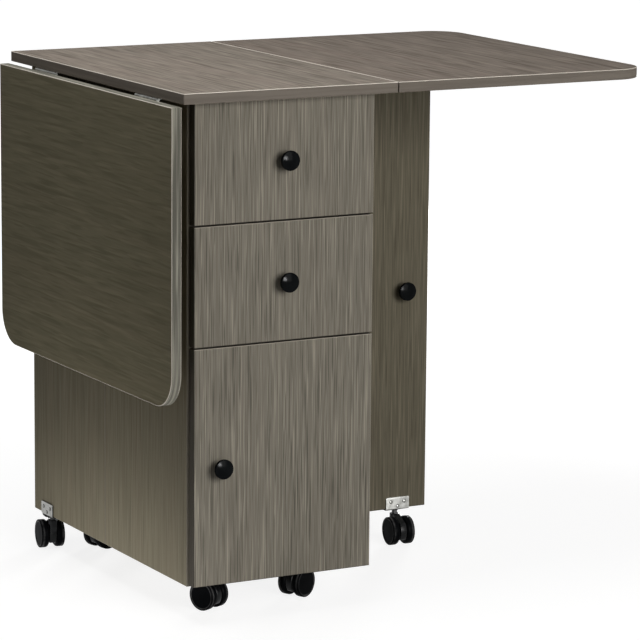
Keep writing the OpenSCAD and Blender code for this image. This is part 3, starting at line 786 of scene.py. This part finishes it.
@dataclass(frozen=True)
class Plated:
    """Zinc-plated steel: cool grey crystals, rolling lines and rubbed arrises.

    Edge is how bright a rubbed arris is and cover how much it covers; where edge is low, as on
    the screw heads, the rim is darkened instead, a painted shade. Cut is the way that the sides
    of the sheet face that are painted dark, a painted shade.
    """

    name: str
    light: Vec
    dark: Vec
    roughness: float
    rolled: Way
    edge: float = 1.12
    cover: float = 0.6
    cut: Way | None = None
    slot: str = "hardware_steel"

    def build(self) -> bpy.types.Material:
        """Lay crystals, rolling lines, rubbed arrises and the painted shade of dark rims and cut
        sides over each other.

        Returns:
            The finished material.
        """
        g = Skin(self.name)
        crystals = g.noise((160.0,) * 3, detail=3.0, rough=0.6)
        lines = g.noise(stretched(self.rolled, 30.0, 1500.0))
        colour = g.mix(g.span(crystals, 0.32, 0.68), self.dark, self.light)
        # At the bends: rubbed metal where edge is over 1, and a painted shade at the rim where it
        # is low.
        colour = g.mix(g.times(g.worn(), self.cover), colour, shade(self.light, self.edge))
        # The cut sides are darkened: a painted shade.
        if self.cut is not None:
            painted_cut_shade = g.span(g.lean(self.cut), 0.6, 0.85)
            colour = g.mix(painted_cut_shade, colour, shade(self.light, 0.06))
        shine = g.plus(g.times(crystals, 0.2), self.roughness - 0.1)
        inputs = {
            "Base Color": colour,
            "Roughness": g.plus(shine, g.times(lines, 0.08)),
            "Metallic": 1.0,
        }
        return g.done(inputs, g.plus(g.times(crystals, 0.5), lines), 0.05 * MM, 0.4)


@dataclass(frozen=True)
class Foil:
    """Pale paper foil on the drawer boxes, with a faint linen press."""

    name: str
    light: Vec
    dark: Vec

    def build(self) -> bpy.types.Material:
        """Cross two fine noises for the linen, over soft clouds.

        Returns:
            The finished material.
        """
        g = Skin(self.name)
        warp = g.noise((60.0, 1500.0, 1500.0), detail=1.0)
        weft = g.noise((1500.0, 60.0, 1500.0), detail=1.0)
        linen = g.times(g.plus(warp, weft), 0.5)
        clouds = g.noise((12.0,) * 3, detail=3.0)
        tone = g.plus(g.times(clouds, 0.5), g.times(linen, 0.5))
        inputs = {
            "Base Color": g.mix(g.span(tone, 0.38, 0.62), self.dark, self.light),
            "Roughness": g.plus(g.times(linen, 0.2), 0.45),
        }
        return g.done(inputs, linen, 0.06 * MM, 0.4)


Finish = Laminate | Moulded | Plated | Foil

KNOB_BLACK = Moulded(
    "knob_black", "knob_plastic", (0.0034, 0.0040, 0.0044), (0.010, 0.011, 0.012), 0.16, 0.02
)
# The hoods' and wheels' pale colours at their bends and rims are partly wear and partly a painted
# highlight.
CASTER_BLACK = Moulded(
    "caster_black", "caster_plastic", (0.0046, 0.0050, 0.0056), (0.07, 0.072, 0.075), 0.3, 0.12
)
WHEEL_BLACK = Moulded(
    "wheel_black", "wheel_plastic", (0.0028, 0.0031, 0.0037), (0.20, 0.20, 0.204), 0.38, 0.009
)
PAD_RUBBER = Moulded("pad_rubber", "", (0.02,) * 3, (0.06,) * 3, 0.7, skin=700.0)
ZINC_TONES = ((0.37, 0.37, 0.355), (0.26, 0.26, 0.245), 0.36)
ZINC = Plated("bright_zinc", *ZINC_TONES, Way.ALONG)
# The brackets' sheets, dark on their cut sides: a painted shade.
LEFT_SHEET = Plated("left_sheet", *ZINC_TONES, Way.DEEP, cut=Way.DEEP)
RIGHT_SHEET = Plated("right_sheet", *ZINC_TONES, Way.ALONG, cut=Way.ALONG)
# Dark at the rim of each head, nearly all round: a painted shade.
SCREW_HEAD = Plated("screw_head", *ZINC_TONES, Way.ALONG, edge=0.1, cover=0.95)
STEM_STEEL = Plated("stem_steel", (0.05,) * 3, (0.03,) * 3, 0.42, Way.UP)
HINGE_STEEL = Plated("hinge_steel", (0.22, 0.22, 0.205), (0.12, 0.12, 0.112), 0.42, Way.DEEP)
RUNNER_STEEL = Plated("runner_steel", (0.66, 0.67, 0.68), (0.50, 0.51, 0.52), 0.36, Way.DEEP)
FOIL = Foil("drawer_foil", (0.58, 0.56, 0.52), (0.50, 0.48, 0.44))


@cache
def material_of(finish: Finish) -> bpy.types.Material:
    """A finish's material, made on its first use."""
    return finish.build()


def dress(finish: Finish, *nodes: str) -> list[str]:
    """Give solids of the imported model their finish.

    Args:
        finish: The finish.
        nodes: The solids' names.

    Returns:
        The same names.
    """
    for node in nodes:
        mesh = frame["nodes"][node].data
        mesh.materials.clear()
        mesh.materials.append(material_of(finish))
    return list(nodes)


def make(name: str, shell: Shell, finish: Moulded | Plated, body: str, *replaced: str) -> str:
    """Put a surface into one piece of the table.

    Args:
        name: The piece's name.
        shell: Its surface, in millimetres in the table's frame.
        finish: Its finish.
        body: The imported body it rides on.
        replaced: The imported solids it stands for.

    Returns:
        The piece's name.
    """
    mesh = bpy.data.meshes.new(name)
    sizes = np.repeat([4, 3], [len(shell.quads), len(shell.tris)])
    corners = np.concatenate([shell.quads.ravel(), shell.tris.ravel()]).astype(np.int32)
    starts = np.concatenate([[0], np.cumsum(sizes)[:-1]]).astype(np.int32)
    mesh.vertices.add(len(shell.points))
    mesh.vertices.foreach_set("co", (shell.points * MM).astype(np.float32).ravel())
    mesh.loops.add(len(corners))
    mesh.loops.foreach_set("vertex_index", corners)
    mesh.polygons.add(len(sizes))
    mesh.polygons.foreach_set("loop_start", starts)
    mesh.attributes.new("wear", "FLOAT", "POINT")
    mesh.attributes["wear"].data.foreach_set("value", shell.wear.astype(np.float32))
    mesh.update(calc_edges=True)
    mesh.validate()
    mesh.shade_smooth()
    mesh.set_sharp_from_angle(angle=CREASE)
    mesh.materials.append(material_of(finish))
    piece = bpy.data.objects.new(name, mesh)
    bpy.context.scene.collection.objects.link(piece)
    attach(piece, body)
    if replaced:
        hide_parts(*replaced)
    return name


def joint_at(name: str) -> np.ndarray:
    """Where a packed joint is at rest, in millimetres."""
    return next(np.array(j["pos_m"]) / MM for j in frame["joints"] if j["name"] == name)


@dataclass
class Boards:
    """The laminated boards: the top, the leaves, the carcass, the gates and the fronts."""

    def build(self) -> list[str]:
        """Dress every board with its grain the way the real one runs.

        A row gives the ways of the grain and of the thickness, the tone and the sheet.

        Returns:
            The boards' names.
        """
        along, deep, up = Way
        ways = {
            "fixed_top": (deep, up, Tone.TOP, "top"),
            "right_leaf": (deep, up, Tone.WING, "leaf"),
            "left_leaf": (deep, along, Tone.LEAF, "other leaf"),
            "left_side": (up, along, Tone.SIDE, "left"),
            "left_gate": (up, along, Tone.SIDE, "left"),
            "right_side": (up, along, Tone.SIDE, "right"),
            "right_gate": (up, deep, Tone.GATE, "gate"),
            "centre_partition": (up, deep, Tone.SIDE, "partition"),
            "rear_panel": (up, deep, Tone.SIDE, "rear"),
            "base_panel": (along, up, Tone.SIDE, "base"),
            "drawer_deck": (along, up, Tone.SIDE, "deck"),
            "rear_shelf": (along, up, Tone.SIDE, "shelf"),
            "upper_drawer_front": (up, deep, Tone.FRONT, "upper"),
            "lower_drawer_front": (up, deep, Tone.FRONT, "lower"),
            "door_panel": (up, deep, Tone.FRONT, "door"),
        }
        for node, (grain, thick, tone, sheet) in ways.items():
            dress(Laminate(f"laminate_{node}", tone.value, grain, thick, sheet), node)
        return list(ways)


@dataclass
class DrawerBoxes:
    """The two drawer boxes behind their fronts, and their runners."""

    drawers: tuple[str, str] = ("upper", "lower")

    def build(self) -> list[str]:
        """Dress the boxes with foil and the runners with steel.

        Returns:
            The solids' names.
        """
        parts = ("sides", "back", "bottom")
        boards = [f"{drawer}_drawer_{part}" for drawer in self.drawers for part in parts]
        runners = [f"{drawer}_drawer_sliders" for drawer in self.drawers]
        return dress(FOIL, *boards) + dress(RUNNER_STEEL, *runners, "drawer_rails")


@dataclass
class Screw:
    """A small screw head with a cross recess, low on Z = 0, domed or sunk."""

    radius: float = 2.9
    height: float = 1.3
    recess: float = 0.9
    dome: float = 2.6
    drop: float = 0.82
    slot_w: float = 0.13
    slot_l: float = 0.6

    def shell(self) -> Shell:
        """Height over the radius and angle of the head.

        The height is height (1 - drop (r / R)^dome). Two crossed slots, soft at their edges, are
        taken out of it: a slot holds where one coordinate is under slot_w R and the other under
        slot_l R. The wear runs from 0 inside to 1 at the rim, where the head is in its own shade.

        Returns:
            The closed head.
        """
        share = np.array([0.06, 0.16, 0.26, 0.36, 0.46, 0.56, 0.66, 0.78, 0.88, 0.96, 1.0])
        a = np.linspace(0.0, 2 * math.pi, 48, endpoint=False)[None]
        x = self.radius * share[:, None] * np.cos(a)
        y = self.radius * share[:, None] * np.sin(a)
        wide, far = self.slot_w * self.radius, self.slot_l * self.radius
        slots = [
            (1 - smooth(wide, 1.7 * wide, np.abs(u))) * (1 - smooth(far, 1.15 * far, np.abs(v)))
            for u, v in ((x, y), (y, x))
        ]
        z = self.height * (1 - self.drop * share[:, None] ** self.dome)
        z = z - self.recess * np.maximum(slots[0], slots[1])
        rim = np.stack([x[-1], y[-1], np.zeros_like(x[-1])], -1)[None]
        grid = np.concatenate([np.stack([x, y, z], -1), rim])[::-1]
        top = np.array([0.0, 0.0, self.height - self.recess])
        head = woven(grid, low=np.zeros(3), high=top)
        out = np.linalg.norm(head.points[:, :2], axis=1) / self.radius
        return Shell(head.points, head.quads, head.tris, smooth(0.6, 0.85, out))


@dataclass
class Knobs:
    """The five knobs on the drawers, the door and the gates.

    Each is turned: a foot, a waisted neck, and a domed head with a rounded rim. Crown is the
    radius of the ball that the dome is cut from, and soft that of the small arc to its rim.
    """

    radius: float = 14.0
    reach: float = 20.0
    foot: float = 6.0
    neck: float = 4.8
    head: float = 8.4
    crown: float = 36.4
    rim: float = 2.5
    soft: float = 1.1

    def shell(self) -> Shell:
        """Profile of a knob from the foot out, along +Z.

        The dome's height under the top at radius x is crown - sqrt(crown^2 - x^2), and the
        neck's radius is neck + 0.5 (2t - 1)^2.

        Returns:
            The closed knob.
        """
        r, h, f = self.radius, self.reach, self.foot
        low, inner = h - self.head, r - self.soft
        profile = [(0.0, 0.0), (f - 0.4, 0.0)] + arc((f - 0.4, 0.4), 0.4, -90, 0, 4)
        profile += [(f, 1.5)] + arc((f - 0.5, 1.5), 0.5, 0, 90, 4)
        t = np.linspace(0.0, 1.0, 9)[1:]
        profile += pairs(self.neck + 0.5 * (2 * t - 1) ** 2, 2.0 + (low - 2.0) * t)
        profile += arc((r - self.rim, low + self.rim), self.rim, -90, 0, 10)
        drop = self.crown - math.sqrt(self.crown**2 - inner**2)
        lean = math.degrees(math.asin(inner / self.crown))
        profile += arc((inner, h - drop - self.soft + 0.02), self.soft, 0, 90 - lean, 6)
        x = np.linspace(0.93 * inner, 0.02 * r, 16)
        profile += pairs(x, h - (self.crown - np.sqrt(self.crown**2 - x**2)) - 0.05)
        return turned(profile + [(0.0, h - 0.05)], 96)

    def build(self) -> list[str]:
        """Stand a knob on each of the five packed ones, away from its board.

        Returns:
            The knobs' names.
        """
        made: list[str] = []
        for name in ("upper_drawer", "lower_drawer", "door", "right_gate", "left_gate"):
            low, high = (np.array(corner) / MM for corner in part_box(f"{name}_knob"))
            at = (low + high) / 2
            if name == "left_gate":
                place = Place((high[0], at[1], at[2]), x=SIDEWAYS, z=(-1.0, 0.0, 0.0))
            else:
                place = Place((at[0], high[1], at[2]), z=(0.0, -1.0, 0.0))
            knob = self.shell().placed(place)
            made.append(make(f"{name}_turned_knob", knob, KNOB_BLACK, name, f"{name}_knob"))
        return made


@dataclass
class TwinWheel:
    """One caster: two wheels on an axle, and the hood between them, trailing along +X."""

    wheel_r: float = 21.5
    wheel_w: float = 12.5
    shoulder: float = 4.3
    rim: float = 1.5
    disc_in: float = 3.0
    disc_sink: float = 0.78
    hood_w: float = 10.5
    gap: float = 0.35
    trail: float = 15.0
    boss_top: float = 45.5
    boss_r: float = 7.0
    cut_h: float = 9.0
    axle_r: float = 2.4

    def wheel(self) -> Shell:
        """Profile of a wheel along +Z, from its inner face at Z = 0 out to its disc.

        The tread runs from a wide inner shoulder to a fine parting line and a narrow rim, and
        the outer face is a sunk disc with a faint dome.

        Returns:
            The closed wheel.
        """
        r, w = self.wheel_r, self.wheel_w
        profile = [(0.0, 0.2), (9.0, 0.2), (9.4, 0.9), (15.6, 0.9), (16.0, 0.1)]
        profile += arc((r - self.shoulder, self.shoulder), self.shoulder, -88, -4, 10)
        profile += [(r, 6.0), (r, w - 3.1), (r - 0.18, w - 2.8), (r - 0.04, w - 2.5)]
        profile += arc((r - self.rim, w - self.rim), self.rim, 8, 90, 8)
        profile += [(r - 2.0, w), (r - 2.4, w - 0.16), (r - 2.7, w - 0.62)]
        profile += [(r - self.disc_in, w - self.disc_sink)]
        t = np.linspace(0.0, 1.0, 12)[1:]
        dome = w - self.disc_sink + 0.42 * smooth(0.0, 1.0, t)
        return turned(profile + pairs((r - self.disc_in) * (1 - t), dome), 96)

    def hood_outline(self) -> np.ndarray:
        """Outline of the hood: a disc round the axle, cut off low, and the shoulder to the boss.

        Returns:
            The outline in X and Z, with its corners rounded.
        """
        r, top, axle = self.wheel_r - 1.5, self.boss_top, (self.trail, self.wheel_r)
        low = math.degrees(math.asin((self.wheel_r - self.cut_h) / r))
        outline = arc(axle, r, 42, -low, 30) + arc(axle, r, low - 180, -196, 20)
        outline += [(-self.boss_r, top - 11.0), (-self.boss_r, top), (self.boss_r, top)]
        return softened(np.array(outline), 220, 1.1)

    def hood(self) -> Shell:
        """The hood's plate, its boss round the stem, and the axle.

        Returns:
            Their surface, stem along Z.
        """
        plate = slab(self.hood_outline(), self.hood_w / 2, 1.3).placed(Place(z=(0.0, -1.0, 0.0)))
        top, r = self.boss_top, self.boss_r
        boss = [(0.0, top - 7.0), (r - 1.2, top - 7.0), (r, top - 6.0)]
        boss += arc((r - 0.9, top - 0.9), 0.9, 0, 90, 6)
        boss += [(4.6, top), (4.4, top - 0.6), (0.0, top - 0.6)]
        reach = self.hood_w / 2 + self.gap + self.wheel_w - 3.2
        axle = [(0.0, -reach), (self.axle_r, -reach), (self.axle_r, reach), (0.0, reach)]
        across = Place((self.trail, 0.0, self.wheel_r), z=SIDEWAYS)
        return joined([plate, turned(boss, 56), turned(axle, 24).placed(across)])

    def wheels(self) -> Shell:
        """Both wheels, each with its disc outwards.

        Returns:
            Their surface, stem along Z.
        """
        off = self.hood_w / 2 + self.gap
        sides = [
            Place((self.trail, s * off, self.wheel_r), z=(0.0, s, 0.0)) for s in (-1.0, 1.0)
        ]
        return joined([self.wheel().placed(side) for side in sides])


@dataclass
class BrakeLever:
    """The brake's tread: a paddle on two ears, with grip ribs, above one caster's hood."""

    pin_x: float = 8.0
    pin_z: float = 48.05
    length: float = 22.0
    width: float = 16.0
    thick: float = 2.0
    turn_up: float = 1.1
    rib: float = 0.28
    ribs: int = 6
    ear_y: float = 3.6

    def paddle(self) -> Shell:
        """The paddle along +X, stem along Z.

        Its path is level and turns up in its last two fifths, and its tip is rounded. Ribs are
        the raised half of a sine between the neck and the tip.

        Returns:
            The closed paddle.
        """
        t = np.linspace(0.0, 1.0, 60)
        x = self.pin_x + 3.2 + (self.length - 3.3) * t
        z = self.pin_z - 0.2 + self.turn_up * smooth(0.6, 1.0, t)
        tip = np.clip(1 - np.clip((t - 0.86) / 0.145, 0, 1) ** 2, 0.05, 1)
        width = (self.width - 2.0 * (1 - smooth(0.0, 0.25, t))) * np.sqrt(tip)
        ribs = self.rib * np.clip(np.sin(t * 2 * math.pi * self.ribs), 0, 1)
        ribs = ribs * smooth(0.3, 0.4, t) * (1 - smooth(0.85, 0.92, t))
        return swept(np.stack([x, z], -1), width, self.thick + 0.3 * smooth(0.7, 1.0, t), 0.8, ribs)

    def shell(self) -> Shell:
        """The paddle, and the ears on the pin with their arms.

        Returns:
            The lever's surface, stem along Z.
        """
        ear = [(0.0, -1.2), (1.9, -1.2), (2.25, -0.9), (2.25, 0.9), (1.9, 1.2), (0.0, 1.2)]
        path = np.stack([np.linspace(0.0, 4.6, 6) + self.pin_x, np.full(6, self.pin_z)], -1)
        arm = swept(path, 2.3, 2.3, 0.5)
        found = [self.paddle()]
        for y in (-self.ear_y, self.ear_y):
            found.append(turned(ear, 32).placed(Place((self.pin_x, y, self.pin_z), z=SIDEWAYS)))
            found.append(arm.placed(Place((0.0, y, 0.0))))
        return joined(found)


@dataclass
class Stem:
    """A grip stem with a collar under its plate, along Z."""

    radius: float = 4.0
    collar_r: float = 6.0
    low: float = 36.6
    top: float = 52.4

    def shell(self) -> Shell:
        """Profile of the stem from its chamfered foot up.

        Returns:
            The closed stem.
        """
        r, c = self.radius, self.collar_r
        profile = [(0.0, self.low), (r - 0.4, self.low), (r, self.low + 0.4), (r, 50.2)]
        profile += [(c - 0.4, 50.6), (c, 51.2), (c, self.top), (0.0, self.top)]
        return turned(profile, 40)


@dataclass
class Casters:
    """The six casters, the plates and stems of the cabinet's four, and the brake lever."""

    twin: TwinWheel = field(default_factory=TwinWheel)
    lever: BrakeLever = field(default_factory=BrakeLever)
    screw: Screw = field(default_factory=lambda: Screw(height=1.1))
    plate_w: float = 38.0
    plate_z: float = 52.0
    plate_t: float = 2.0
    screw_in: float = 5.5

    def spot(self, name: str) -> Place:
        """Axes of a caster, from its two packed joints: the stem's and the axle's.

        Args:
            name: The caster's name.

        Returns:
            Its place, with +X from the stem to the axle.
        """
        level = np.array([1.0, 1.0, 0.0])
        stem, axle = joint_at(f"{name}_swivel") * level, joint_at(f"{name}_roll") * level
        return Place(tuple(stem), x=tuple(axle - stem))

    def plate(self) -> Shell:
        """A cabinet caster's plate with rounded corners, stem along Z."""
        corners = np.array([(1, 1), (-1, 1), (-1, -1), (1, -1)]) * self.plate_w / 2
        flat = slab(softened(corners, 160, 1.6), self.plate_t / 2, 0.35)
        return flat.placed(Place((0.0, 0.0, self.plate_z + self.plate_t / 2)))

    def build(self) -> list[str]:
        """Make every caster in its photographed direction.

        Returns:
            The names of the pieces.
        """
        made: list[str] = []
        plates: list[Shell] = []
        screws: list[Shell] = []
        at = self.plate_w / 2 - self.screw_in
        names = ("front_left", "front_right", "rear_left", "rear_right", "left_gate", "right_gate")
        for name in names:
            place, swivel, node = self.spot(name), f"{name}_swivel", f"{name}_wheels"
            hood, wheels = self.twin.hood().placed(place), self.twin.wheels().placed(place)
            made += [
                make(f"{name}_caster_hood", hood, CASTER_BLACK, swivel, f"{name}_hood"),
                make(f"{name}_twin_wheels", wheels, WHEEL_BLACK, node, node),
            ]
            if "gate" in name:
                continue
            square = Place(place.origin)
            plates += [self.plate().placed(square), Stem().shell().placed(square)]
            for dx, dy in ((-at, -at), (-at, at), (at, -at), (at, at)):
                spot = (place.origin[0] + dx, place.origin[1] + dy, self.plate_z)
                screws.append(self.screw.shell().placed(Place(spot, z=(0.0, 0.0, -1.0))))
        lever = self.lever.shell().placed(self.spot("left_gate"))
        return made + [
            make("caster_seats", joined(plates), ZINC, "cabinet", "caster_plates"),
            make("caster_seat_screws", joined(screws), ZINC, "cabinet"),
            make("brake_paddle", lever, CASTER_BLACK, "brake_lever", "brake_lever"),
        ]


@dataclass
class GateFittings:
    """Brackets, stems, screws and pads of the two gates.

    A bracket is a bent plate on a gate's lower corner that carries its caster. Its own axes are
    the stem's along Z, with +X out of the gate's outer face.
    """

    width: float = 40.0
    height: float = 20.0
    sheet: float = 2.0
    gate_t: float = 15.0
    under: float = 54.0
    bend: float = 1.6
    corner_r: float = 1.4
    screw_spread: float = 23.0
    upper_screws: float = 11.0
    lower_screw: float = 4.0

    def bracket(self) -> Shell:
        """The bent plate: in under the gate, round the bend, and up its face.

        Its width narrows by a quarter circle at both ends.

        Returns:
            The closed plate.
        """
        mid, r = self.sheet / 2, self.corner_r
        face, low = self.gate_t / 2 + mid, self.under - mid
        path = [(x, low) for x in np.linspace(1.0 - self.gate_t / 2, face - self.bend, 8)]
        path += arc((face - self.bend, low + self.bend), self.bend, -90, 0, 8)[1:]
        top = self.under - self.sheet + self.height
        path = np.array(path + [(face, z) for z in np.linspace(low + self.bend, top, 16)[1:]])
        along = np.concatenate([[0.0], np.cumsum(np.linalg.norm(np.diff(path, axis=0), axis=1))])
        near = np.clip(1 - np.minimum(along, along[-1] - along) / r, 0.0, 1.0)
        width = self.width - 2 * r * (1 - np.sqrt(np.clip(1 - near**2, 0.0, 1.0)))
        return swept(path, width, self.sheet, 0.35)

    def screw_heads(self) -> Shell:
        """The three screw heads on a bracket's face.

        Returns:
            Their surface.
        """
        face, half = self.gate_t / 2 + self.sheet, self.screw_spread / 2
        spots = ((-half, self.upper_screws), (half, self.upper_screws), (0.0, self.lower_screw))
        places = [
            Place((face, across, self.under + up), x=(0.0, 0.0, 1.0), z=(1.0, 0.0, 0.0))
            for across, up in spots
        ]
        return joined([Screw().shell().placed(place) for place in places])

    def build(self) -> list[str]:
        """Fit each gate's bracket on its packed one.

        Returns:
            The names of the pieces.
        """
        made: list[str] = []
        sides = (("left", (-1.0, 0.0, 0.0), LEFT_SHEET), ("right", (0.0, -1.0, 0.0), RIGHT_SHEET))
        for side, out, sheet in sides:
            at, gate = joint_at(f"{side}_gate_swivel"), f"{side}_gate"
            place = Place((at[0], at[1], 0.0), x=out)
            shells = (self.bracket(), Stem().shell(), self.screw_heads())
            plate, stem, heads = (shell.placed(place) for shell in shells)
            screws = f"{side}_bracket_screws"
            made += [
                make(f"{side}_bent_bracket", plate, sheet, gate, f"{gate}_bracket"),
                make(f"{side}_gate_stem", stem, STEM_STEEL, gate),
                make(f"{side}_bracket_screw_heads", heads, SCREW_HEAD, gate, screws),
            ]
            made += dress(PAD_RUBBER, f"{gate}_pad")
        return made


@dataclass
class Hinges:
    """Leaf, gate and door hinges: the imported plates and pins, with the leaf hinges' screws."""

    middles: tuple[float, float] = (-178.0, 160.0)
    spread: float = 26.0
    inset: float = 13.5
    plate_drop: float = 1.0
    knuckle_r: float = 2.0
    head: Screw = field(default_factory=lambda: Screw(2.7, 0.35, 0.6, dome=8.0))

    def screws(self, name: str, body: str, lines: Profile, out: Vec) -> str:
        """Three flush screws in each leaf hinge plate of one body.

        Args:
            name: The piece's name.
            body: The body that the plates are on.
            lines: The plates' lines of screws, as x and z.
            out: The way the heads face.

        Returns:
            The piece's name.
        """
        ys = [m + d for m in self.middles for d in (-self.spread, 0.0, self.spread)]
        places = [Place((x, y, z), SIDEWAYS, out) for x, z in lines for y in ys]
        heads = joined([self.head.shell().placed(place) for place in places])
        return make(name, heads, HINGE_STEEL, body)

    def build(self) -> list[str]:
        """Dress the hinges and set the leaf hinges' screws.

        Returns:
            The names of the pieces.
        """
        nodes = ["leaf_hinge_plates", "gate_hinge_plates", "door_hinge_plates", "hinge_pins"]
        nodes += ["left_leaf_hinges", "right_leaf_hinges", "left_gate_hinges"]
        made = dress(HINGE_STEEL, *nodes, "right_gate_hinges", "door_hinges")
        left, right = joint_at("left_leaf_fold"), joint_at("right_leaf_fold")
        proud = self.knuckle_r - self.plate_drop
        under, down = left[2] + proud, (0.0, 0.0, -1.0)
        top = [(left[0] + self.inset, under), (right[0] - self.inset, under)]
        hanging = [(left[0] - proud, left[2] - self.inset)]
        return made + [
            self.screws("top_hinge_screws", "cabinet", top, down),
            self.screws("right_leaf_screws", "right_leaf", [(right[0] + self.inset, under)], down),
            self.screws("left_leaf_screws", "left_leaf", hanging, (1.0, 0.0, 0.0)),
        ]


def stand(
    name: str, data: bpy.types.ID, at: Vec, right: np.ndarray, up: np.ndarray
) -> bpy.types.Object:
    """Put a camera or a lamp in the scene, which looks against right cross up.

    Args:
        name: Its name.
        data: The camera or light.
        at: Where it stands.
        right: The way its right side points.
        up: The way its upper side points.

    Returns:
        The new object.
    """
    turn = np.eye(4)
    turn[:3, 0], turn[:3, 1], turn[:3, 2], turn[:3, 3] = right, up, np.cross(right, up), at
    thing = bpy.data.objects.new(name, data)
    thing.matrix_world = Matrix(turn.tolist())
    bpy.context.scene.collection.objects.link(thing)
    return thing


@dataclass(frozen=True)
class Lamp:
    """A square soft lamp: its place, the length of its side, its power in watts and its tint.

    Matt is whether it lights matt surfaces too, and not only what they reflect.
    """

    name: str
    at: Vec
    size: float
    power: float
    tint: Vec = (1.0, 1.0, 1.0)
    matt: bool = True

    def hang(self, to: Vec) -> None:
        """Hang the lamp and point it.

        Args:
            to: Where it points.
        """
        light = bpy.data.lights.new(self.name, "AREA")
        light.shape, light.size = "SQUARE", self.size
        light.energy, light.color = self.power, self.tint
        back = unit(np.array(self.at) - np.array(to))
        side = unit(np.cross([0.0, 0.0, 1.0], back))
        lamp = stand(self.name, light, self.at, side, np.cross(back, side))
        lamp.visible_diffuse = self.matt


@dataclass
class Studio:
    """Floor, background, lamps and the camera of the photograph, in metres and degrees."""

    camera_at: Vec = (-2.4368, -4.4760, 1.3208)
    yaw: float = 28.59
    pitch: float = 10.66
    roll: float = 0.49
    focal_px: float = 3488.85
    picture_px: float = 640.0
    sensor_mm: float = 36.0
    far: float = 100.0
    ambient: float = 0.05
    floor_half: float = 12.0
    floor_grey: float = 0.3
    floor_near: float = 0.84
    near_fall: tuple[float, float] = (0.6, 2.0)
    # A glowing patch of floor to the left of the object, for bounced light only: painted light.
    painted_pool_at: Vec = (-0.47, -0.02, 0.0)
    painted_pool_scale: Vec = (1.0, 0.34, 1.0)
    painted_pool_glow: float = 2.4
    painted_pool_fall: tuple[float, float] = (0.03, 0.22)
    middle: Vec = (-0.05, 0.0, 0.45)
    lamps: tuple[Lamp, ...] = (
        Lamp("front", (0.5, -3.4, 1.3), 2.0, 76.0, (1.0, 0.99, 0.97)),
        Lamp("overhead", (-0.55, -0.05, 2.0), 1.0, 15.2),
        Lamp("rear", (2.4, 2.6, 0.42), 0.6, 120.0),
        Lamp("spark", (-0.2, -3.7, 0.95), 0.7, 215.0, matt=False),
    )

    def camera(self) -> None:
        """Stand the camera where the photograph was taken.

        Forward is (sin yaw cos pitch, cos yaw cos pitch, -sin pitch), right is level, and both
        right and up are turned by the roll.
        """
        yaw, pitch, roll = (math.radians(a) for a in (self.yaw, self.pitch, self.roll))
        flat = math.cos(pitch)
        ahead = np.array([math.sin(yaw) * flat, math.cos(yaw) * flat, -math.sin(pitch)])
        level = np.array([math.cos(yaw), -math.sin(yaw), 0.0])
        over = np.cross(level, ahead)
        right = level * math.cos(roll) + over * math.sin(roll)
        up = over * math.cos(roll) - level * math.sin(roll)
        data = bpy.data.cameras.new("photo_camera")
        data.sensor_width = self.sensor_mm
        data.lens = self.focal_px / self.picture_px * self.sensor_mm
        data.clip_end = self.far
        bpy.context.scene.camera = stand("photo_camera", data, self.camera_at, right, up)

    def world(self) -> None:
        """A pale world: soft light on the object, white where it is seen."""
        world = bpy.data.worlds.new("studio")
        bpy.context.scene.world = world
        world.use_nodes = True
        g = Nodes(world.node_tree)
        sky = g.add("Background", {0: (1.0, 1.0, 1.0), 1: g.seen(self.ambient, 1.0)})
        g.add("OutputWorld", {0: sky.outputs[0]})

    def floor(self) -> None:
        """A plain pale floor that keeps the object's shadow, and is white further off.

        To the left of the object it glows for light that bounces onto the object, which the camera
        doesn't see: painted light on the object's left side and underside.
        """
        material = bpy.data.materials.new("pale_floor")
        material.use_nodes = True
        g = Nodes(material.node_tree)
        matt = g.add("BsdfDiffuse", {0: (self.floor_grey,) * 3})
        near = g.fall((0.0, 0.0, 0.0), (1.0, 1.0, 1.0), *self.near_fall, self.floor_near, 1.0)
        # Painted light: the patch glows for bounced light, while the camera and reflections see the
        # white floor.
        painted_pool = g.fall(self.painted_pool_at, self.painted_pool_scale, *self.painted_pool_fall, self.painted_pool_glow, 0.0)
        level = g.add("Mix", {0: g.seen(0.0, 1.0), 2: painted_pool, 3: near})
        glow = g.add("Emission", {1: level.outputs[0]})
        both = g.add("AddShader", {0: matt.outputs[0], 1: glow.outputs[0]})
        g.add("OutputMaterial", {0: both.outputs[0]})
        mesh = bpy.data.meshes.new("floor")
        corners = np.array([(-1, -1, 0), (1, -1, 0), (1, 1, 0), (-1, 1, 0)]) * self.floor_half
        mesh.from_pydata(corners.tolist(), [], [(0, 1, 2, 3)])
        mesh.materials.append(material)
        floor = bpy.data.objects.new("floor", mesh)
        bpy.context.scene.collection.objects.link(floor)

    def build(self) -> list[str]:
        """Set up the whole studio.

        Returns:
            The names of its camera, floor and lamps.
        """
        self.camera()
        self.world()
        self.floor()
        for lamp in self.lamps:
            lamp.hang(self.middle)
        bpy.context.scene.view_settings.view_transform = "Standard"
        return ["photo_camera", "floor", *(lamp.name for lamp in self.lamps)]


def main() -> None:
    """Build the table's sub-assemblies in order and report each piece."""
    logging.basicConfig(level=logging.INFO, format="%(name)s %(message)s")
    groups = (Boards(), DrawerBoxes(), Hinges(), Knobs(), Casters(), GateFittings(), Studio())
    for group in groups:
        for piece in group.build():
            log.info("%s: %s", type(group).__name__, piece)


if __name__ == "__main__":
    main()
